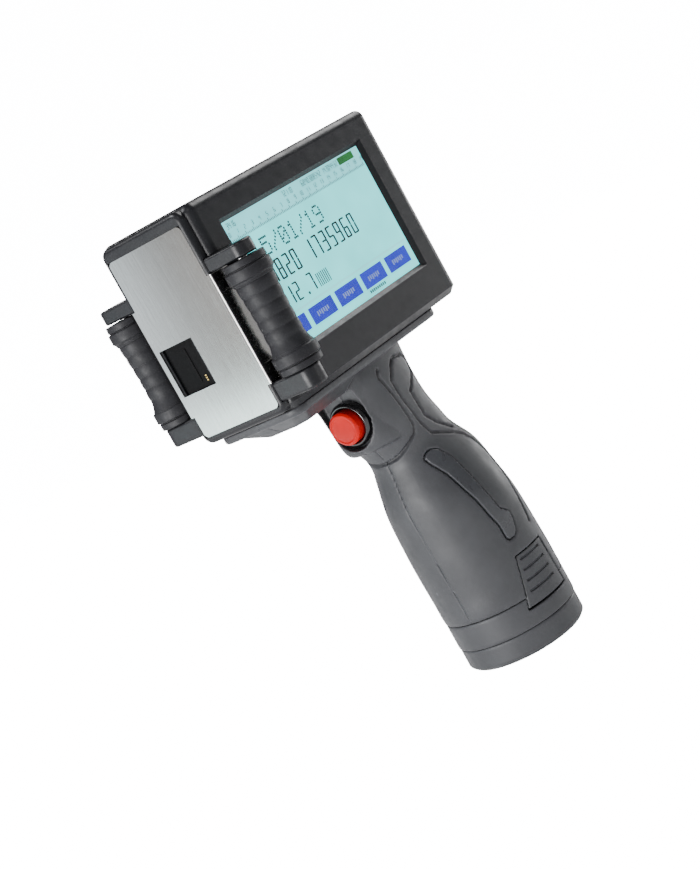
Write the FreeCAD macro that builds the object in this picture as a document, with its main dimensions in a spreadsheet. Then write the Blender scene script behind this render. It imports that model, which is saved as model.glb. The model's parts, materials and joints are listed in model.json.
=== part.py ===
import FreeCAD, Part
import math
import os
import re

import Sketcher
from FreeCAD import Placement, Rotation, Vector

# Handheld date code inkjet printer.
# Millimetres. +Z is up, the printing face looks towards -Y and the screen towards +X.
# The origin is the centre of the battery's flat foot, on which the printer stands.

DIMENSIONS = {
    # Head casing: two moulded halves that meet at the middle plane
    "head_half": 25.0, "head_front": 82.5, "head_rear": 41.2, "head_floor": 139.5, "head_top": 223.6,
    "head_edge": 3.5, "head_front_edge": 3.6, "head_rear_edge": 5.0, "head_bevel": 2.7, "wall": 2.4,
    "nose_half": 22.3, "nose_reach": 86.0, "nose_floor": 140.0, "nose_top": 223.0, "nose_corner": 4.0,
    "nose_edge": 1.9, "nose_room_half": 19.0, "nose_room_floor": 143.5, "nose_room_top": 219.6,
    "nose_room_rear": 71.6, "window_wall": 1.8,
    # Stainless plate on the printing face, folded back between the roller arms
    "sheet": 0.8, "plate_half": 20.2, "plate_floor": 143.0, "plate_top": 217.75, "plate_corner": 2.0,
    "flange_half": 22.4, "flange_reach": 73.0, "flange_floor": 152.0, "flange_top": 197.2,
    "window_left": 19.6, "window_right": 1.55, "window_floor": 160.5, "window_top": 179.9,
    # Roller brackets
    "arm_half": 40.0, "arm_front": 85.2, "arm_rear": 74.0, "arm_floor": 144.0, "lower_arm_top": 151.9,
    "upper_arm_floor": 197.3, "arm_top": 203.0, "web_inner": 20.4, "web_outer": 21.5, "web_rear": 73.0,
    "arm_front_corner": 4.0, "arm_rear_corner": 5.0, "arm_edge": 1.0, "slack": 0.1,
    # Rollers on fixed pins
    "roller_half": 33.3, "roller_reach": 78.9, "axle": 2.0, "axle_floor": 144.6, "axle_top": 201.0,
    "roller_floor": 152.4, "roller_top": 195.9, "sleeve_floor": 159.7, "sleeve_top": 188.9,
    "core": 5.2, "bush_outer": 3.1, "bush_bore": 2.05, "bush_height": 6.0, "collar": 7.9, "ring": 9.1,
    "collar_height": 2.1, "sleeve_end": 8.1, "sleeve_crest": 7.5, "sleeve_waist": 7.0,
    "magnet_inner": 3.4, "magnet_height": 1.0, "sensor_pocket": 0.9, "cover_height": 1.2,
    # Screen
    "screen_front": 68.8, "screen_rear": 26.55, "screen_floor": 156.95, "screen_top": 210.96,
    "bezel_grow": 1.7, "bezel_depth": 1.7, "gasket": 0.3, "gasket_width": 2.4, "touch_glass": 1.1,
    "panel_thick": 3.3, "panel_front": 71.2, "panel_rear": 31.6, "panel_floor": 150.4, "panel_top": 217.6,
    "panel_play": 0.5, "carrier_thick": 0.8, "carrier_tab": 6.0,
    "bridge_floor": 28.0, "bridge_top": 36.0,
    # Main board and what stands on it
    "board_face": 12.0, "board_thick": 1.6, "board_front": 66.0, "board_rear": 36.6, "board_floor": 149.0,
    "board_top": 214.5, "post": 2.5, "post_inset": 4.0, "chip": 16.0, "chip_height": 1.8,
    "coin": 8.0, "coin_height": 3.2, "coin_y": 30.0, "coin_z": 162.0, "coin_rim": 1.2, "coin_rim_height": 1.8,
    "coin_foot": 0.6, "processor_y": 24.0, "processor_z": 176.0, "memory_z": 196.0, "lead_x": 8.8,
    "lead_y": 14.0, "lead": 1.6, "lead_hole": 2.6,
    # Inlets at the rear
    "socket_middle": 5.7, "usb_thick": 5.7, "usb_height": 13.1, "usb_floor": 176.0, "usb_depth": 14.0,
    "usb_shell": 0.4, "tongue": 1.8, "jack_width": 9.0, "jack_height": 11.0, "jack_floor": 156.5,
    "jack_depth": 14.2, "jack_bore": 2.8, "jack_pin": 1.0, "lamp": 1.5, "lamp_z": 172.0,
    "switch_half": 4.3, "switch_floor": 198.0, "switch_height": 16.0, "switch_lip": 1.2, "switch_depth": 10.4,
    "rocker_half": 3.1, "rocker_reach": 5.6, "rocker_tilt": 9.0, "rocker_room": 7.0, "pivot_y": 38.6,
    "rocker_pin": 0.8,
    # Cartridge bay with its rear door
    "bay_left": 20.8, "bay_right": 0.8, "bay_floor": 152.2, "bay_top": 212.3, "cradle_wall": 1.4,
    "cradle_front": 70.6, "cradle_rear": 8.0, "cartridge_play": 0.3, "cartridge_front": 70.0,
    "cartridge_rear": 12.0, "cartridge_corner": 3.0, "snout_play": 2.2, "snout_reach": 84.3,
    "snout_floor": 158.0, "snout_top": 182.0, "nozzle_thick": 0.3, "nozzle_half": 2.2, "nozzle_inset": 5.0,
    "pad_length": 14.0, "pad_inset": 4.0, "contact_height": 3.2, "contact_drop": 0.6, "contact_pin": 0.5,
    "contact_start": 6.2, "contact_column": 2.3, "contact_row": 3.6, "fit": 0.1, "cable_start": 10.4,
    "cable_end": 14.6,
    "cable_thick": 0.3, "pull_inset": 6.0, "pull_reach": 5.0, "pull_drop": 6.0, "pull_height": 3.0,
    "doorway_left": 21.2, "doorway_right": 0.2, "doorway_floor": 149.7, "doorway_top": 214.7,
    "door_play": 0.3, "door_thick": 3.0, "door_pin": 0.75, "door_pull": 5.0,
    # Handle, also two halves, with a moulded shelf that carries the head
    "grip_wall": 2.3, "shelf_half": 22.0, "shelf_front": 80.0, "shelf_rear": 25.0,
    "shelf_floor": 136.0, "shelf_top": 139.3, "shelf_edge": 1.4, "shelf_corner": 6.0,
    "chin_half": 11.0, "chin_nose": 68.5, "chin_heel": 38.5, "chin_floor": 130.8, "chin_corner": 4.0,
    "chin_base_half": 19.5, "chin_base_nose": 77.5, "chin_base_heel": 35.0, "chin_top": 137.0,
    "inlay_depth": 1.2, "inlay_gap": 0.6, "line_width": 1.3, "line_depth": 1.2,
    # Trigger button
    "button_z": 117.2, "button_face": 38.2, "button_cap": 6.9, "bezel_face": 34.4, "bezel": 9.4,
    "seat": 30.2, "mouth": 10.6, "nut_seat": 10.6, "mouth_wall": 2.6, "barrel": 7.9, "barrel_bore": 7.2,
    "barrel_rear": 18.0,
    "cap_back": 31.0, "shoulder": 27.0, "stem": 3.0, "stem_bore": 3.2, "stem_rear": 20.0, "nut": 10.2,
    "nut_front": 27.8, "nut_thick": 2.4, "spring_radius": 5.0, "spring_wire": 0.35, "spring_turns": 3.0,
    "button_block_half": 6.0, "button_block_rear": 8.0, "terminal": 0.5,
    # Battery
    "foot": 26.5, "foot_height": 10.1, "foot_edge": 1.6, "seam_edge": 0.35, "cell_seat": 3.0, "band": 26.8,
    "band_floor": 10.2,
    "band_top": 21.7, "band_bore": 24.2, "band_floor_thick": 2.4, "tower": 20.9, "tower_top": 70.0,
    "tower_bore": 20.0, "tower_roof": 1.2, "tower_edge": 1.6, "cell": 9.2, "cell_floor": 3.4,
    "cell_height": 65.0,
    "pack_pad": 2.4, "pad_gap": 7.0, "pad_height": 0.5, "pogo": 1.1, "pogo_gap": 0.3, "base_floor": 73.0,
    "base_thick": 3.0,
    # Battery latches: tabs that flex inward about their lower end
    "tab_inner": 24.3, "tab_outer": 26.9, "tab_floor": 17.8, "tab_top": 38.5, "tab_top_front": 11.4,
    "tab_top_rear": 4.6, "tab_foot_front": 16.0, "tab_foot_rear": 6.2, "tab_start": 16.0, "tab_gap": 0.5,
    "tab_slot": 1.3,
    "tab_grip_pitch": 4.4, "tab_grip_slant": 0.8, "tab_grip_top": 36.6, "tab_grip_depth": 0.7,
    "tab_grip_width": 1.0,
    "tab_grip_front": 10.6, "tab_grip_rear": 1.8,
    # Fasteners
    "screw": 1.1, "screw_head": 2.2, "screw_head_height": 1.5, "boss": 2.8, "screw_reach": 8.0,
    "screw_sink": 0.4, "small_head": 1.7, "small_head_height": 1.1,
}

# The grip's cross-sections, from its lower end up: height, half width, half depth, middle and squareness
GRIP_STATIONS = [
    ("foot", 22.0, 26.9, 26.9, 0.0, 2.0), ("low", 30.0, 26.95, 26.95, -0.3, 2.0),
    ("palm", 40.0, 26.9, 26.95, -0.7, 2.0), ("swell", 50.0, 26.7, 26.9, -1.1, 2.0),
    ("full", 62.0, 26.0, 26.5, -1.6, 2.0), ("heel", 75.0, 23.3, 25.5, -2.7, 2.1),
    ("bend", 87.0, 19.8, 23.1, -3.1, 2.2), ("waist", 96.5, 16.8, 19.6, -5.9, 2.3),
    ("throat", 103.0, 16.8, 19.4, -8.6, 2.4), ("finger", 110.0, 17.3, 20.4, -12.6, 2.5),
    ("joint", 117.0, 17.7, 20.8, -14.4, 2.5), ("neck", 124.0, 18.0, 20.9, -14.9, 2.5),
    ("yoke", 131.0, 18.3, 21.05, -14.9, 2.5), ("crown", 138.5, 18.6, 21.2, -14.8, 2.5),
]
# The pod that stands out of the grip around the button, given the same way
POD_STATIONS = [
    ("pod_foot", 103.4, 12.8, 11.5, -20.0, 2.4), ("pod_lip", 105.6, 13.6, 15.0, -20.0, 2.5),
    ("pod_low", 110.0, 14.2, 15.6, -20.0, 2.8), ("pod_mid", 117.0, 14.2, 16.0, -20.0, 3.0),
    ("pod_high", 124.0, 14.3, 16.8, -20.0, 3.0), ("pod_top", 131.0, 14.6, 18.8, -20.0, 3.0),
    ("pod_end", 137.5, 15.0, 19.6, -20.0, 3.0),
]
STATION_FIELDS = ("z", "width", "depth", "middle", "square")
for station in GRIP_STATIONS + POD_STATIONS:
    for field, value in zip(STATION_FIELDS, station[1:]):
        DIMENSIONS["%s_%s" % (station[0], field)] = value

# Casing screws run across the halves, from the -X side: (y, z)
HEAD_SCREWS = [(35.3, 145.4), (35.3, 217.7), (-77.2, 216.6), (-66.0, 145.3)]
HANDLE_SCREWS = [(-2.0, 130.5), (9.0, 91.0), (-21.5, 79.5)]
# Screws that hold the head down on the handle's shelf: (x, y)
SHELF_SCREWS = [(-13.0, -56.0), (13.0, -56.0), (-13.0, 14.0), (13.0, 14.0)]
# Outline of the soft inlay on each side of the grip: (y, z)
INLAY = [(-19.7, 90.8), (-19.1, 91.9), (-17.2, 93.0), (-15.2, 93.1), (-12.6, 91.6), (-10.2, 86.3),
         (-9.2, 76.6),
         (-8.3, 67.2), (-7.1, 58.8), (-3.6, 55.6), (-3.6, 52.6), (-5.6, 47.1), (-7.5, 45.5), (-10.7, 45.4),
         (-11.7, 46.8), (-11.9, 52.6), (-13.3, 59.4), (-14.4, 66.7), (-15.9, 72.9), (-17.2, 81.2),
         (-19.4, 88.1)]
# Front edges of the memory chips, along Y
MEMORY_Y = (-30, -16)
# Finger lines on each battery latch
TAB_LINES = 4
# Sections along each turn of the button's spring
SPRING_STEPS = 20
# Lines sunk into each side of the handle: the pod's edge, the rear panel's edge and a short line beside it
LINES = [
    [(-22.7, 132.0), (-24.2, 129.2), (-21.0, 118.0), (-17.7, 104.7), (-18.4, 102.0), (-22.1, 98.6),
     (-25.0, 95.8), (-27.6, 94.5), (-40.0, 94.2)],
    [(-12.6, 132.2), (-15.4, 129.8), (-18.9, 124.8), (-18.2, 117.7), (-14.2, 105.0), (-10.4, 98.0),
     (-0.1, 93.0), (4.2, 90.6), (8.2, 85.8), (11.4, 78.0), (11.6, 69.7), (8.8, 60.8), (6.2, 49.2),
     (4.8, 45.7)],
    [(-12.6, 132.2), (-5.5, 131.2), (-1.5, 128.0), (-3.0, 122.5), (-11.3, 116.9), (-9.8, 105.7), (-4.6,
                                                                                                  100.0),
     (3.6, 93.9)],
]

doc = FreeCAD.newDocument("DateCodePrinter")
dims = doc.addObject("Spreadsheet::Sheet", "dims")
nodes = {}


def fill_sheet():
    """One row for each driving dimension: its name, then its value, which has the name as its alias."""
    for row, (name, value) in enumerate(DIMENSIONS.items(), start=1):
        dims.set("A%d" % row, name)
        dims.set("B%d" % row, repr(value))
        dims.setAlias("B%d" % row, name)
    doc.recompute()


def value_of(text):
    """The number that an expression in dimension names stands for."""
    return float(dims.evalExpression(bound(text)))


def bound(text):
    """The expression with each dimension's name pointing at its cell."""
    def cell(match):
        word = match.group(0)
        return "dims." + word if word in DIMENSIONS else word
    return re.sub(r"[A-Za-z_]\w*", cell, str(text))


def bind(item, **fields):
    for field, text in fields.items():
        item.setExpression(field, bound(text))


def place(item, x="0", y="0", z="0", turn=None):
    if turn is not None:
        item.Placement = Placement(Vector(0, 0, 0), turn)
    for axis, text in zip("xyz", (x, y, z)):
        item.setExpression("Placement.Base." + axis, bound(text))
    return item


def box(name, x, y, z):
    """A box between two limits along each axis, each given as an expression."""
    item = doc.addObject("Part::Box", name)
    bind(item, Length="%s-(%s)" % (x[1], x[0]), Width="%s-(%s)" % (y[1], y[0]), Height="%s-(%s)" % (z[1],
                                                                                                    z[0]))
    return place(item, x[0], y[0], z[0])


TURNS = {"x": Rotation(Vector(0, 1, 0), 90), "y": Rotation(Vector(1, 0, 0), -90), "z": Rotation()}


def rod(name, axis, radius, length, x="0", y="0", z="0"):
    """A cylinder that starts at a point and runs along one axis."""
    item = doc.addObject("Part::Cylinder", name)
    bind(item, Radius=radius, Height=length)
    return place(item, x, y, z, TURNS[axis])


def tube(name, axis, outer, inner, length, x="0", y="0", z="0"):
    return cut(name, rod(name + "_outer", axis, outer, length, x, y, z),
               rod(name + "_bore", axis, inner, length, x, y, z))


def fuse(name, *parts):
    item = doc.addObject("Part::MultiFuse", name)
    item.Shapes = list(parts)
    item.Refine = True
    return item


def group(name, *parts):
    item = doc.addObject("Part::Compound", name)
    item.Links = list(parts)
    return item


def cut(name, base, *tools):
    item = doc.addObject("Part::Cut", name)
    item.Base = base
    item.Tool = tools[0] if len(tools) == 1 else fuse(name + "_tools", *tools)
    item.Refine = True
    return item


def common(name, first, second):
    item = doc.addObject("Part::Common", name)
    item.Base = first
    item.Tool = second
    item.Refine = True
    return item


def mirrored(name, source):
    item = doc.addObject("Part::Mirroring", name)
    item.Source = source
    item.Normal = Vector(1, 0, 0)
    return item


def rounded(name, base, radius, chosen, kind="Part::Fillet"):
    """A fillet or chamfer on the edges of base whose ends and middle pass the test `chosen`."""
    doc.recompute()
    size = value_of(radius)
    item = doc.addObject(kind, name)
    item.Base = base
    item.Edges = [(number, size, size) for number, edge in enumerate(base.Shape.Edges,
                                                                     start=1) if chosen(edge)]
    return item


def edge_middle(edge):
    first, last = edge.ParameterRange
    return edge.valueAt((first + last) / 2)


def along(edge, axis):
    """Whether an edge is straight and lies along x, y or z."""
    if len(edge.Vertexes) != 2:
        return False
    step = edge.Vertexes[1].Point - edge.Vertexes[0].Point
    return abs(abs(getattr(step, axis)) - step.Length) < 1e-6 and abs(edge.Length - step.Length) < 1e-6


def in_plane(edge, axis, level):
    box_of_edge = edge.BoundBox
    low = getattr(box_of_edge, axis.upper() + "Min")
    high = getattr(box_of_edge, axis.upper() + "Max")
    return abs(low - level) < 1e-4 and abs(high - level) < 1e-4


PLANES = {"xy": "XY_Plane", "xz": "XZ_Plane", "yz": "YZ_Plane"}


def sketch_outline(body, name, plane, points):
    """A closed outline of straight lines, each corner held by two dimensions from the origin."""
    sketch = body.newObject("Sketcher::SketchObject", name)
    support = [item for item in body.Origin.OriginFeatures if item.Role == PLANES[plane]][0]
    sketch.AttachmentSupport = [(support, "")]
    sketch.MapMode = "FlatFace"
    numbers = [Vector(value_of(across), value_of(up), 0) for across, up in points]
    count = len(numbers)
    for index in range(count):
        sketch.addGeometry(Part.LineSegment(numbers[index], numbers[(index + 1) % count]))
    for index in range(count):
        sketch.addConstraint(Sketcher.Constraint("Coincident", index, 2, (index + 1) % count, 1))
    for index, texts in enumerate(points):
        for kind, text, number in zip(("DistanceX", "DistanceY"), texts, numbers[index]):
            place_in_list = sketch.addConstraint(Sketcher.Constraint(kind, -1, 1, index, 1, number))
            label = "%s%d" % (kind, index)
            sketch.renameConstraint(place_in_list, label)
            sketch.setExpression("Constraints." + label, bound(text))
    return sketch


def padded(name, plane, points, start, length):
    """A body whose outline is padded from a level along the plane's normal."""
    body = doc.addObject("PartDesign::Body", name)
    sketch = sketch_outline(body, name + "_outline", plane, points)
    sketch.setExpression("AttachmentOffset.Base.z", bound(start))
    pad = body.newObject("PartDesign::Pad", name + "_pad")
    pad.Profile = sketch
    pad.setExpression("Length", bound(length))
    sketch.Visibility = False
    doc.recompute()
    return body


def turned(name, points):
    """A body turned about its own Z axis from an outline of (radius, height) points."""
    body = doc.addObject("PartDesign::Body", name)
    sketch = sketch_outline(body, name + "_outline", "xz", points)
    revolution = body.newObject("PartDesign::Revolution", name + "_turn")
    revolution.Profile = sketch
    revolution.ReferenceAxis = (sketch, ["V_Axis"])
    revolution.Angle = 360
    doc.recompute()
    return body


def dressed(body, kind, radius, chosen):
    """A PartDesign fillet or chamfer on the edges of the body's last feature that pass the test."""
    base = body.Tip
    names = ["Edge%d" % number for number, edge in enumerate(base.Shape.Edges, start=1) if chosen(edge)]
    feature = body.newObject("PartDesign::" + kind, "%s_%s%d" % (body.Name, kind.lower(), len(body.Group)))
    feature.Base = (base, names)
    feature.setExpression("Radius" if kind == "Fillet" else "Size", bound(radius))
    doc.recompute()
    return body


def node(name, item):
    """Names a sub-part, which is written to a file of its own."""
    item.Label = name
    nodes[name] = item
    return item


# ---------------------------------------------------------------- head casing

def head_block():
    """The head's rounded outside, with the narrower nose that stands out in front of it."""
    rectangle = [("-head_half", "-head_front"), ("head_half", "-head_front"),
                 ("head_half", "head_rear"), ("-head_half", "head_rear")]
    main = padded("head_main", "xy", rectangle, "head_floor", "head_top-head_floor")
    rear = value_of("head_rear")
    front = -value_of("head_front")
    top = value_of("head_top")
    floor = value_of("head_floor")
    dressed(main, "Fillet", "head_rear_edge", lambda edge: along(edge,
                                                                 "z") and edge_middle(edge).y > rear - 1)
    dressed(main, "Fillet", "head_front_edge", lambda edge: along(edge,
                                                                  "z") and edge_middle(edge).y < front + 1)
    dressed(main, "Fillet", "head_edge", lambda edge: in_plane(edge, "z", top))
    dressed(main, "Chamfer", "head_bevel", lambda edge: in_plane(edge, "z", floor))
    nose_rectangle = [("-nose_half", "-nose_reach"), ("nose_half", "-nose_reach"),
                      ("nose_half", "-nose_room_rear"), ("-nose_half", "-nose_room_rear")]
    nose = padded("nose_block", "xy", nose_rectangle, "nose_floor", "nose_top-nose_floor")
    reach = -value_of("nose_reach")
    dressed(nose, "Fillet", "nose_corner", lambda edge: along(edge, "y"))
    dressed(nose, "Fillet", "nose_edge", lambda edge: in_plane(edge, "y", reach))
    return fuse("head_outside", main, nose)


def bezel_cut():
    """The screen's opening, wider at the outer face."""
    wedge = doc.addObject("Part::Wedge", "bezel_cut")
    bind(wedge, Ymin="0", Ymax="bezel_depth", Xmin="-screen_rear", Xmax="screen_front", Zmin="screen_floor",
         Zmax="screen_top", X2min="-screen_rear-bezel_grow", X2max="screen_front+bezel_grow",
         Z2min="screen_floor-bezel_grow", Z2max="screen_top+bezel_grow")
    return place(wedge, "head_half-bezel_depth", "0", "0", Rotation(Vector(0, 0, 1), -90))


def bracket_recesses(side, sign):
    """Room in one side of the nose for a roller bracket and the folded edge of the plate."""
    inner = "web_inner-slack"
    outer = "head_half+1"
    span = (inner, outer) if sign > 0 else ("-(%s)" % outer, "-(%s)" % inner)
    arms = box("arm_recess_" + side, span, ("-arm_front-slack", "-web_rear+slack"),
               ("arm_floor-slack", "arm_top+slack"))
    middle = box("flange_recess_" + side, span, ("-nose_reach-1", "-web_rear+slack"),
                 ("flange_floor-slack", "flange_top+slack"))
    return [arms, middle]


def head_openings():
    rear_through = ("head_rear-wall-1", "head_rear+1")
    main_room = box("head_room", ("-head_half+wall", "head_half-wall"), ("-nose_room_rear", "head_rear-wall"),
                    ("head_floor+wall", "head_top-wall"))
    nose_room = box("nose_room", ("-nose_room_half", "nose_room_half"),
                    ("-nose_reach+sheet+window_wall", "-nose_room_rear+1"), ("nose_room_floor",
                                                                             "nose_room_top"))
    cuts = [
        cut("head_rooms", fuse("head_rooms_joined", main_room, nose_room), *bosses("head", HEAD_SCREWS,
                                                                                   "head_half")),
        box("plate_recess", ("-plate_half-slack", "plate_half+slack"), ("-nose_reach-1", "-nose_reach+sheet"),
            ("plate_floor-slack", "plate_top+slack")),
        box("snout_opening", ("-bay_left+cartridge_play+snout_play-0.5",
                              "-bay_right-snout_play+cartridge_play"),
            ("-nose_reach-1", "-nose_room_rear"), ("snout_floor-0.5", "snout_top+0.5")),
        bezel_cut(),
        box("screen_pocket", ("head_half-wall-1", "head_half-bezel_depth"),
            ("-panel_front-panel_play", "panel_rear+panel_play"),
            ("panel_floor-panel_play", "panel_top+panel_play")),
        box("doorway", ("-doorway_left", "-doorway_right"), rear_through, ("doorway_floor", "doorway_top")),
        box("switch_opening", ("socket_middle-switch_half+0.3", "socket_middle+switch_half-0.3"),
            rear_through,
            ("switch_floor+1", "switch_floor+switch_height-1")),
        box("usb_opening", ("socket_middle-usb_thick/2-0.2", "socket_middle+usb_thick/2+0.2"), rear_through,
            ("usb_floor-0.2", "usb_floor+usb_height+0.2")),
        rod("jack_opening", "y", "jack_bore+0.7", "wall+2", "socket_middle", "head_rear-wall-1",
            "jack_floor+jack_height/2"),
        rod("lamp_opening", "y", "lamp", "wall+2", "socket_middle", "head_rear-wall-1", "lamp_z"),
        rod("door_pin_hole", "z", "door_pin", "doorway_top-doorway_floor+4",
            "-doorway_left+door_play+door_thick/2",
            "head_rear-door_thick/2", "doorway_floor-2"),
        rod("head_lead_hole", "z", "lead_hole", "wall+2", "lead_x", "-lead_y", "head_floor-1"),
    ]
    for side, sign in (("right", 1), ("left", -1)):
        cuts += bracket_recesses(side, sign)
    for number, (x, y) in enumerate(SHELF_SCREWS, start=1):
        cuts.append(rod("floor_hole_%d" % number, "z", "screw", "wall+2", str(x), str(y), "head_floor-1"))
    return cuts


def bosses(prefix, screws, outer):
    """Screw bosses that cross the casing from wall to wall."""
    return [rod("%s_boss_%d" % (prefix, number), "x", "boss", "2*(%s)" % outer, "-(%s)" % outer, str(y),
                str(z))
            for number, (y, z) in enumerate(screws, start=1)]


def screw_holes(prefix, screws, outer):
    """Clearance through the left half, a sunk seat for each head and a pilot hole in the right half."""
    holes = []
    for number, (y, z) in enumerate(screws, start=1):
        holes.append(rod("%s_hole_%d" % (prefix, number), "x", "screw", "%s+screw_reach" % outer,
                         "-(%s)" % outer, str(y), str(z)))
        holes.append(rod("%s_seat_%d" % (prefix, number), "x", "screw_head", "screw_sink+screw_head_height+5",
                         "-(%s)-5" % outer, str(y), str(z)))
    return holes


def cross_screws(name, screws, outers):
    """The screws of one casing, as a group of separate solids."""
    pieces = []
    for number, ((y, z), outer) in enumerate(zip(screws, outers), start=1):
        seat = "-(%s)+screw_sink" % outer
        head = rod("%s_head_%d" % (name, number), "x", "screw_head", "screw_head_height", seat, str(y),
                   str(z))
        shank = rod("%s_shank_%d" % (name, number), "x", "screw", "%s+screw_reach-screw_sink" % outer, seat,
                    str(y), str(z))
        slot = box("%s_slot_%d" % (name, number), (seat, "%s+0.6" % seat), ("%s-1.6" % y, "%s+1.6" % y),
                   ("%s-0.25" % z, "%s+0.25" % z))
        cross = box("%s_cross_%d" % (name, number), (seat, "%s+0.6" % seat), ("%s-0.25" % y, "%s+0.25" % y),
                    ("%s-1.6" % z, "%s+1.6" % z))
        pieces.append(cut("%s_%d" % (name, number), fuse("%s_body_%d" % (name, number), head, shank), slot,
                          cross))
    return node(name, group(name, *pieces))


def halves(prefix, whole, y, z):
    """The two mouldings of a casing, which meet at the middle plane."""
    for side, span in (("left", ("-head_half-5", "0")), ("right", ("0", "head_half+5"))):
        room = box("%s_%s_side" % (prefix, side), span, y, z)
        node("%s_%s" % (prefix, side), common("%s_%s" % (prefix, side), whole, room))


def head_casing():
    bored = cut("head_hollow", head_block(), *head_openings(), *screw_holes("head", HEAD_SCREWS, "head_half"))
    halves("head_shell", bored, ("-nose_reach-5", "head_rear+5"), ("head_floor-5", "head_top+5"))
    cross_screws("head_screws", HEAD_SCREWS, ["head_half"] * len(HEAD_SCREWS))


# ---------------------------------------------------------------- printing face and rollers

def front_plate():
    """Thin stainless sheet: a tall face with rounded corners, and two edges folded back."""
    face = box("plate_face", ("-plate_half", "plate_half"), ("-nose_reach", "-nose_reach+sheet"),
               ("plate_floor", "plate_top"))
    face = rounded("plate_face_rounded", face, "plate_corner", lambda edge: along(edge, "y"))
    middle = box("plate_middle", ("-flange_half", "flange_half"), ("-nose_reach", "-nose_reach+sheet"),
                 ("flange_floor", "flange_top"))
    outer = value_of("flange_half")
    reach = -value_of("nose_reach")

    def front_corner(edge):
        spot = edge_middle(edge)
        return along(edge, "z") and abs(spot.y - reach) < 0.01 and abs(abs(spot.x) - outer) < 0.01

    middle = rounded("plate_middle_rounded", middle, "sheet*0.75", front_corner)
    right = box("plate_flange", ("flange_half-sheet", "flange_half"), ("-nose_reach+sheet", "-flange_reach"),
                ("flange_floor", "flange_top"))
    window = box("plate_window", ("-window_left", "-window_right"), ("-nose_reach-1", "-nose_reach+sheet+1"),
                 ("window_floor", "window_top"))
    joined = fuse("plate_joined", face, middle, right, mirrored("plate_flange_left", right))
    node("front_plate", cut("front_plate", joined, window))


def bracket_arm(name, floor, height):
    outline = [("web_inner", "-arm_front"), ("arm_half", "-arm_front"),
               ("arm_half", "-arm_rear"), ("web_inner", "-arm_rear")]
    arm = padded(name, "xy", outline, floor, height)
    tip = value_of("arm_half")
    middle = -(value_of("arm_front") + value_of("arm_rear")) / 2
    dressed(arm, "Fillet", "arm_front_corner", lambda edge: along(edge,
                                                                  "z") and edge_middle(edge).x > tip - 0.1
            and edge_middle(edge).y < middle)
    dressed(arm, "Fillet", "arm_rear_corner", lambda edge: along(edge,
                                                                 "z") and edge_middle(edge).x > tip - 0.1
            and edge_middle(edge).y > middle)
    levels = (value_of(floor), value_of(floor) + value_of(height))
    inner = value_of("head_half")
    dressed(arm, "Fillet", "arm_edge", lambda edge: edge_middle(edge).x > inner
            and any(in_plane(edge, "z", level) for level in levels))
    return arm


def sensor_room(name, low, high, grow="0"):
    """The pocket under the right lower arm that the roller's counter sits in."""
    reach = "magnet_inner/2+bush_outer/2+1"
    return box(name, ("roller_half-(%s)-2.2-(%s)" % (reach, grow), "roller_half-(%s)+1.2+(%s)" % (reach,
                                                                                                  grow)),
               ("-roller_reach-3-(%s)" % grow, "-roller_reach+3+(%s)" % grow), (low, high))


def roller_brackets():
    upper = bracket_arm("upper_arm", "upper_arm_floor", "arm_top-upper_arm_floor")
    lower = bracket_arm("lower_arm", "arm_floor", "lower_arm_top-arm_floor")
    web = box("bracket_web", ("web_inner", "web_outer"), ("-arm_front", "-web_rear"), ("arm_floor",
                                                                                       "arm_top"))
    solid = fuse("bracket_solid", upper, lower, web)
    pin = rod("axle_hole", "z", "axle", "axle_top-arm_floor+1", "roller_half", "-roller_reach", "arm_floor-1")
    bracket = cut("bracket_bored", solid, pin)
    pocket = sensor_room("sensor_room", "arm_floor-1", "lower_arm_top-sensor_pocket")
    cover_seat = sensor_room("cover_seat", "arm_floor-1", "arm_floor+cover_height", "1")
    node("roller_bracket_right", cut("roller_bracket_right", bracket, pocket, cover_seat))
    node("roller_bracket_left", mirrored("roller_bracket_left", bracket))


def roller_counter():
    """A hall sensor in the right lower arm counts the turns of a magnet ring in the roller above it."""
    sensor = sensor_room("encoder_sensor", "lower_arm_top-sensor_pocket-2", "lower_arm_top-sensor_pocket",
                         "-slack")
    node("encoder_sensor", sensor)
    plate = sensor_room("encoder_cover_plate", "arm_floor", "arm_floor+cover_height", "1-slack")
    hole = rod("cover_axle_hole", "z", "axle+slack", "cover_height+2", "roller_half", "-roller_reach",
               "arm_floor-1")
    node("encoder_cover", cut("encoder_cover", plate, hole))
    node("encoder_magnet", tube("encoder_magnet", "z", "core-slack", "magnet_inner", "magnet_height",
                                "roller_half", "-roller_reach", "roller_floor"))


def sleeve_outline():
    """Half of the rubber sleeve's wavy outside: narrow waists between crests, as straight cones."""
    heights = [0.0, 1.2, 5.1, 6.9, 10.7, 14.4, 18.1, 21.9, 23.9, 27.6, 29.2]
    radii = ["sleeve_end", "sleeve_end", "sleeve_waist+0.2", "sleeve_waist+0.1", "sleeve_crest+0.1",
             "sleeve_waist+0.1", "sleeve_crest", "sleeve_waist+0.1", "sleeve_waist", "sleeve_end-0.2",
             "sleeve_end-0.1"]
    outside = [(radius, "sleeve_floor+%s" % height) for radius, height in zip(radii, heights)]
    return [("core", "sleeve_floor")] + outside + [("core", "sleeve_top")]


def ring_outline(start, way, end):
    """A thick end ring with a thinner collar outside it and a narrow neck towards the sleeve."""
    neck = "%s%s0.35" % (end, "-" if way == "+" else "+")
    collar = "%s%scollar_height" % (start, way)
    back = "-" if way == "+" else "+"
    return [("core", start), ("collar-0.4", start), ("collar", "%s%s0.4" % (start, way)), ("collar", collar),
            ("ring-0.4", collar), ("ring", "%s%s0.4" % (collar, way)), ("ring", "%s%s0.4" % (neck, back)),
            ("ring-0.4", neck), ("collar", neck), ("collar", end), ("core", end)]


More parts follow.
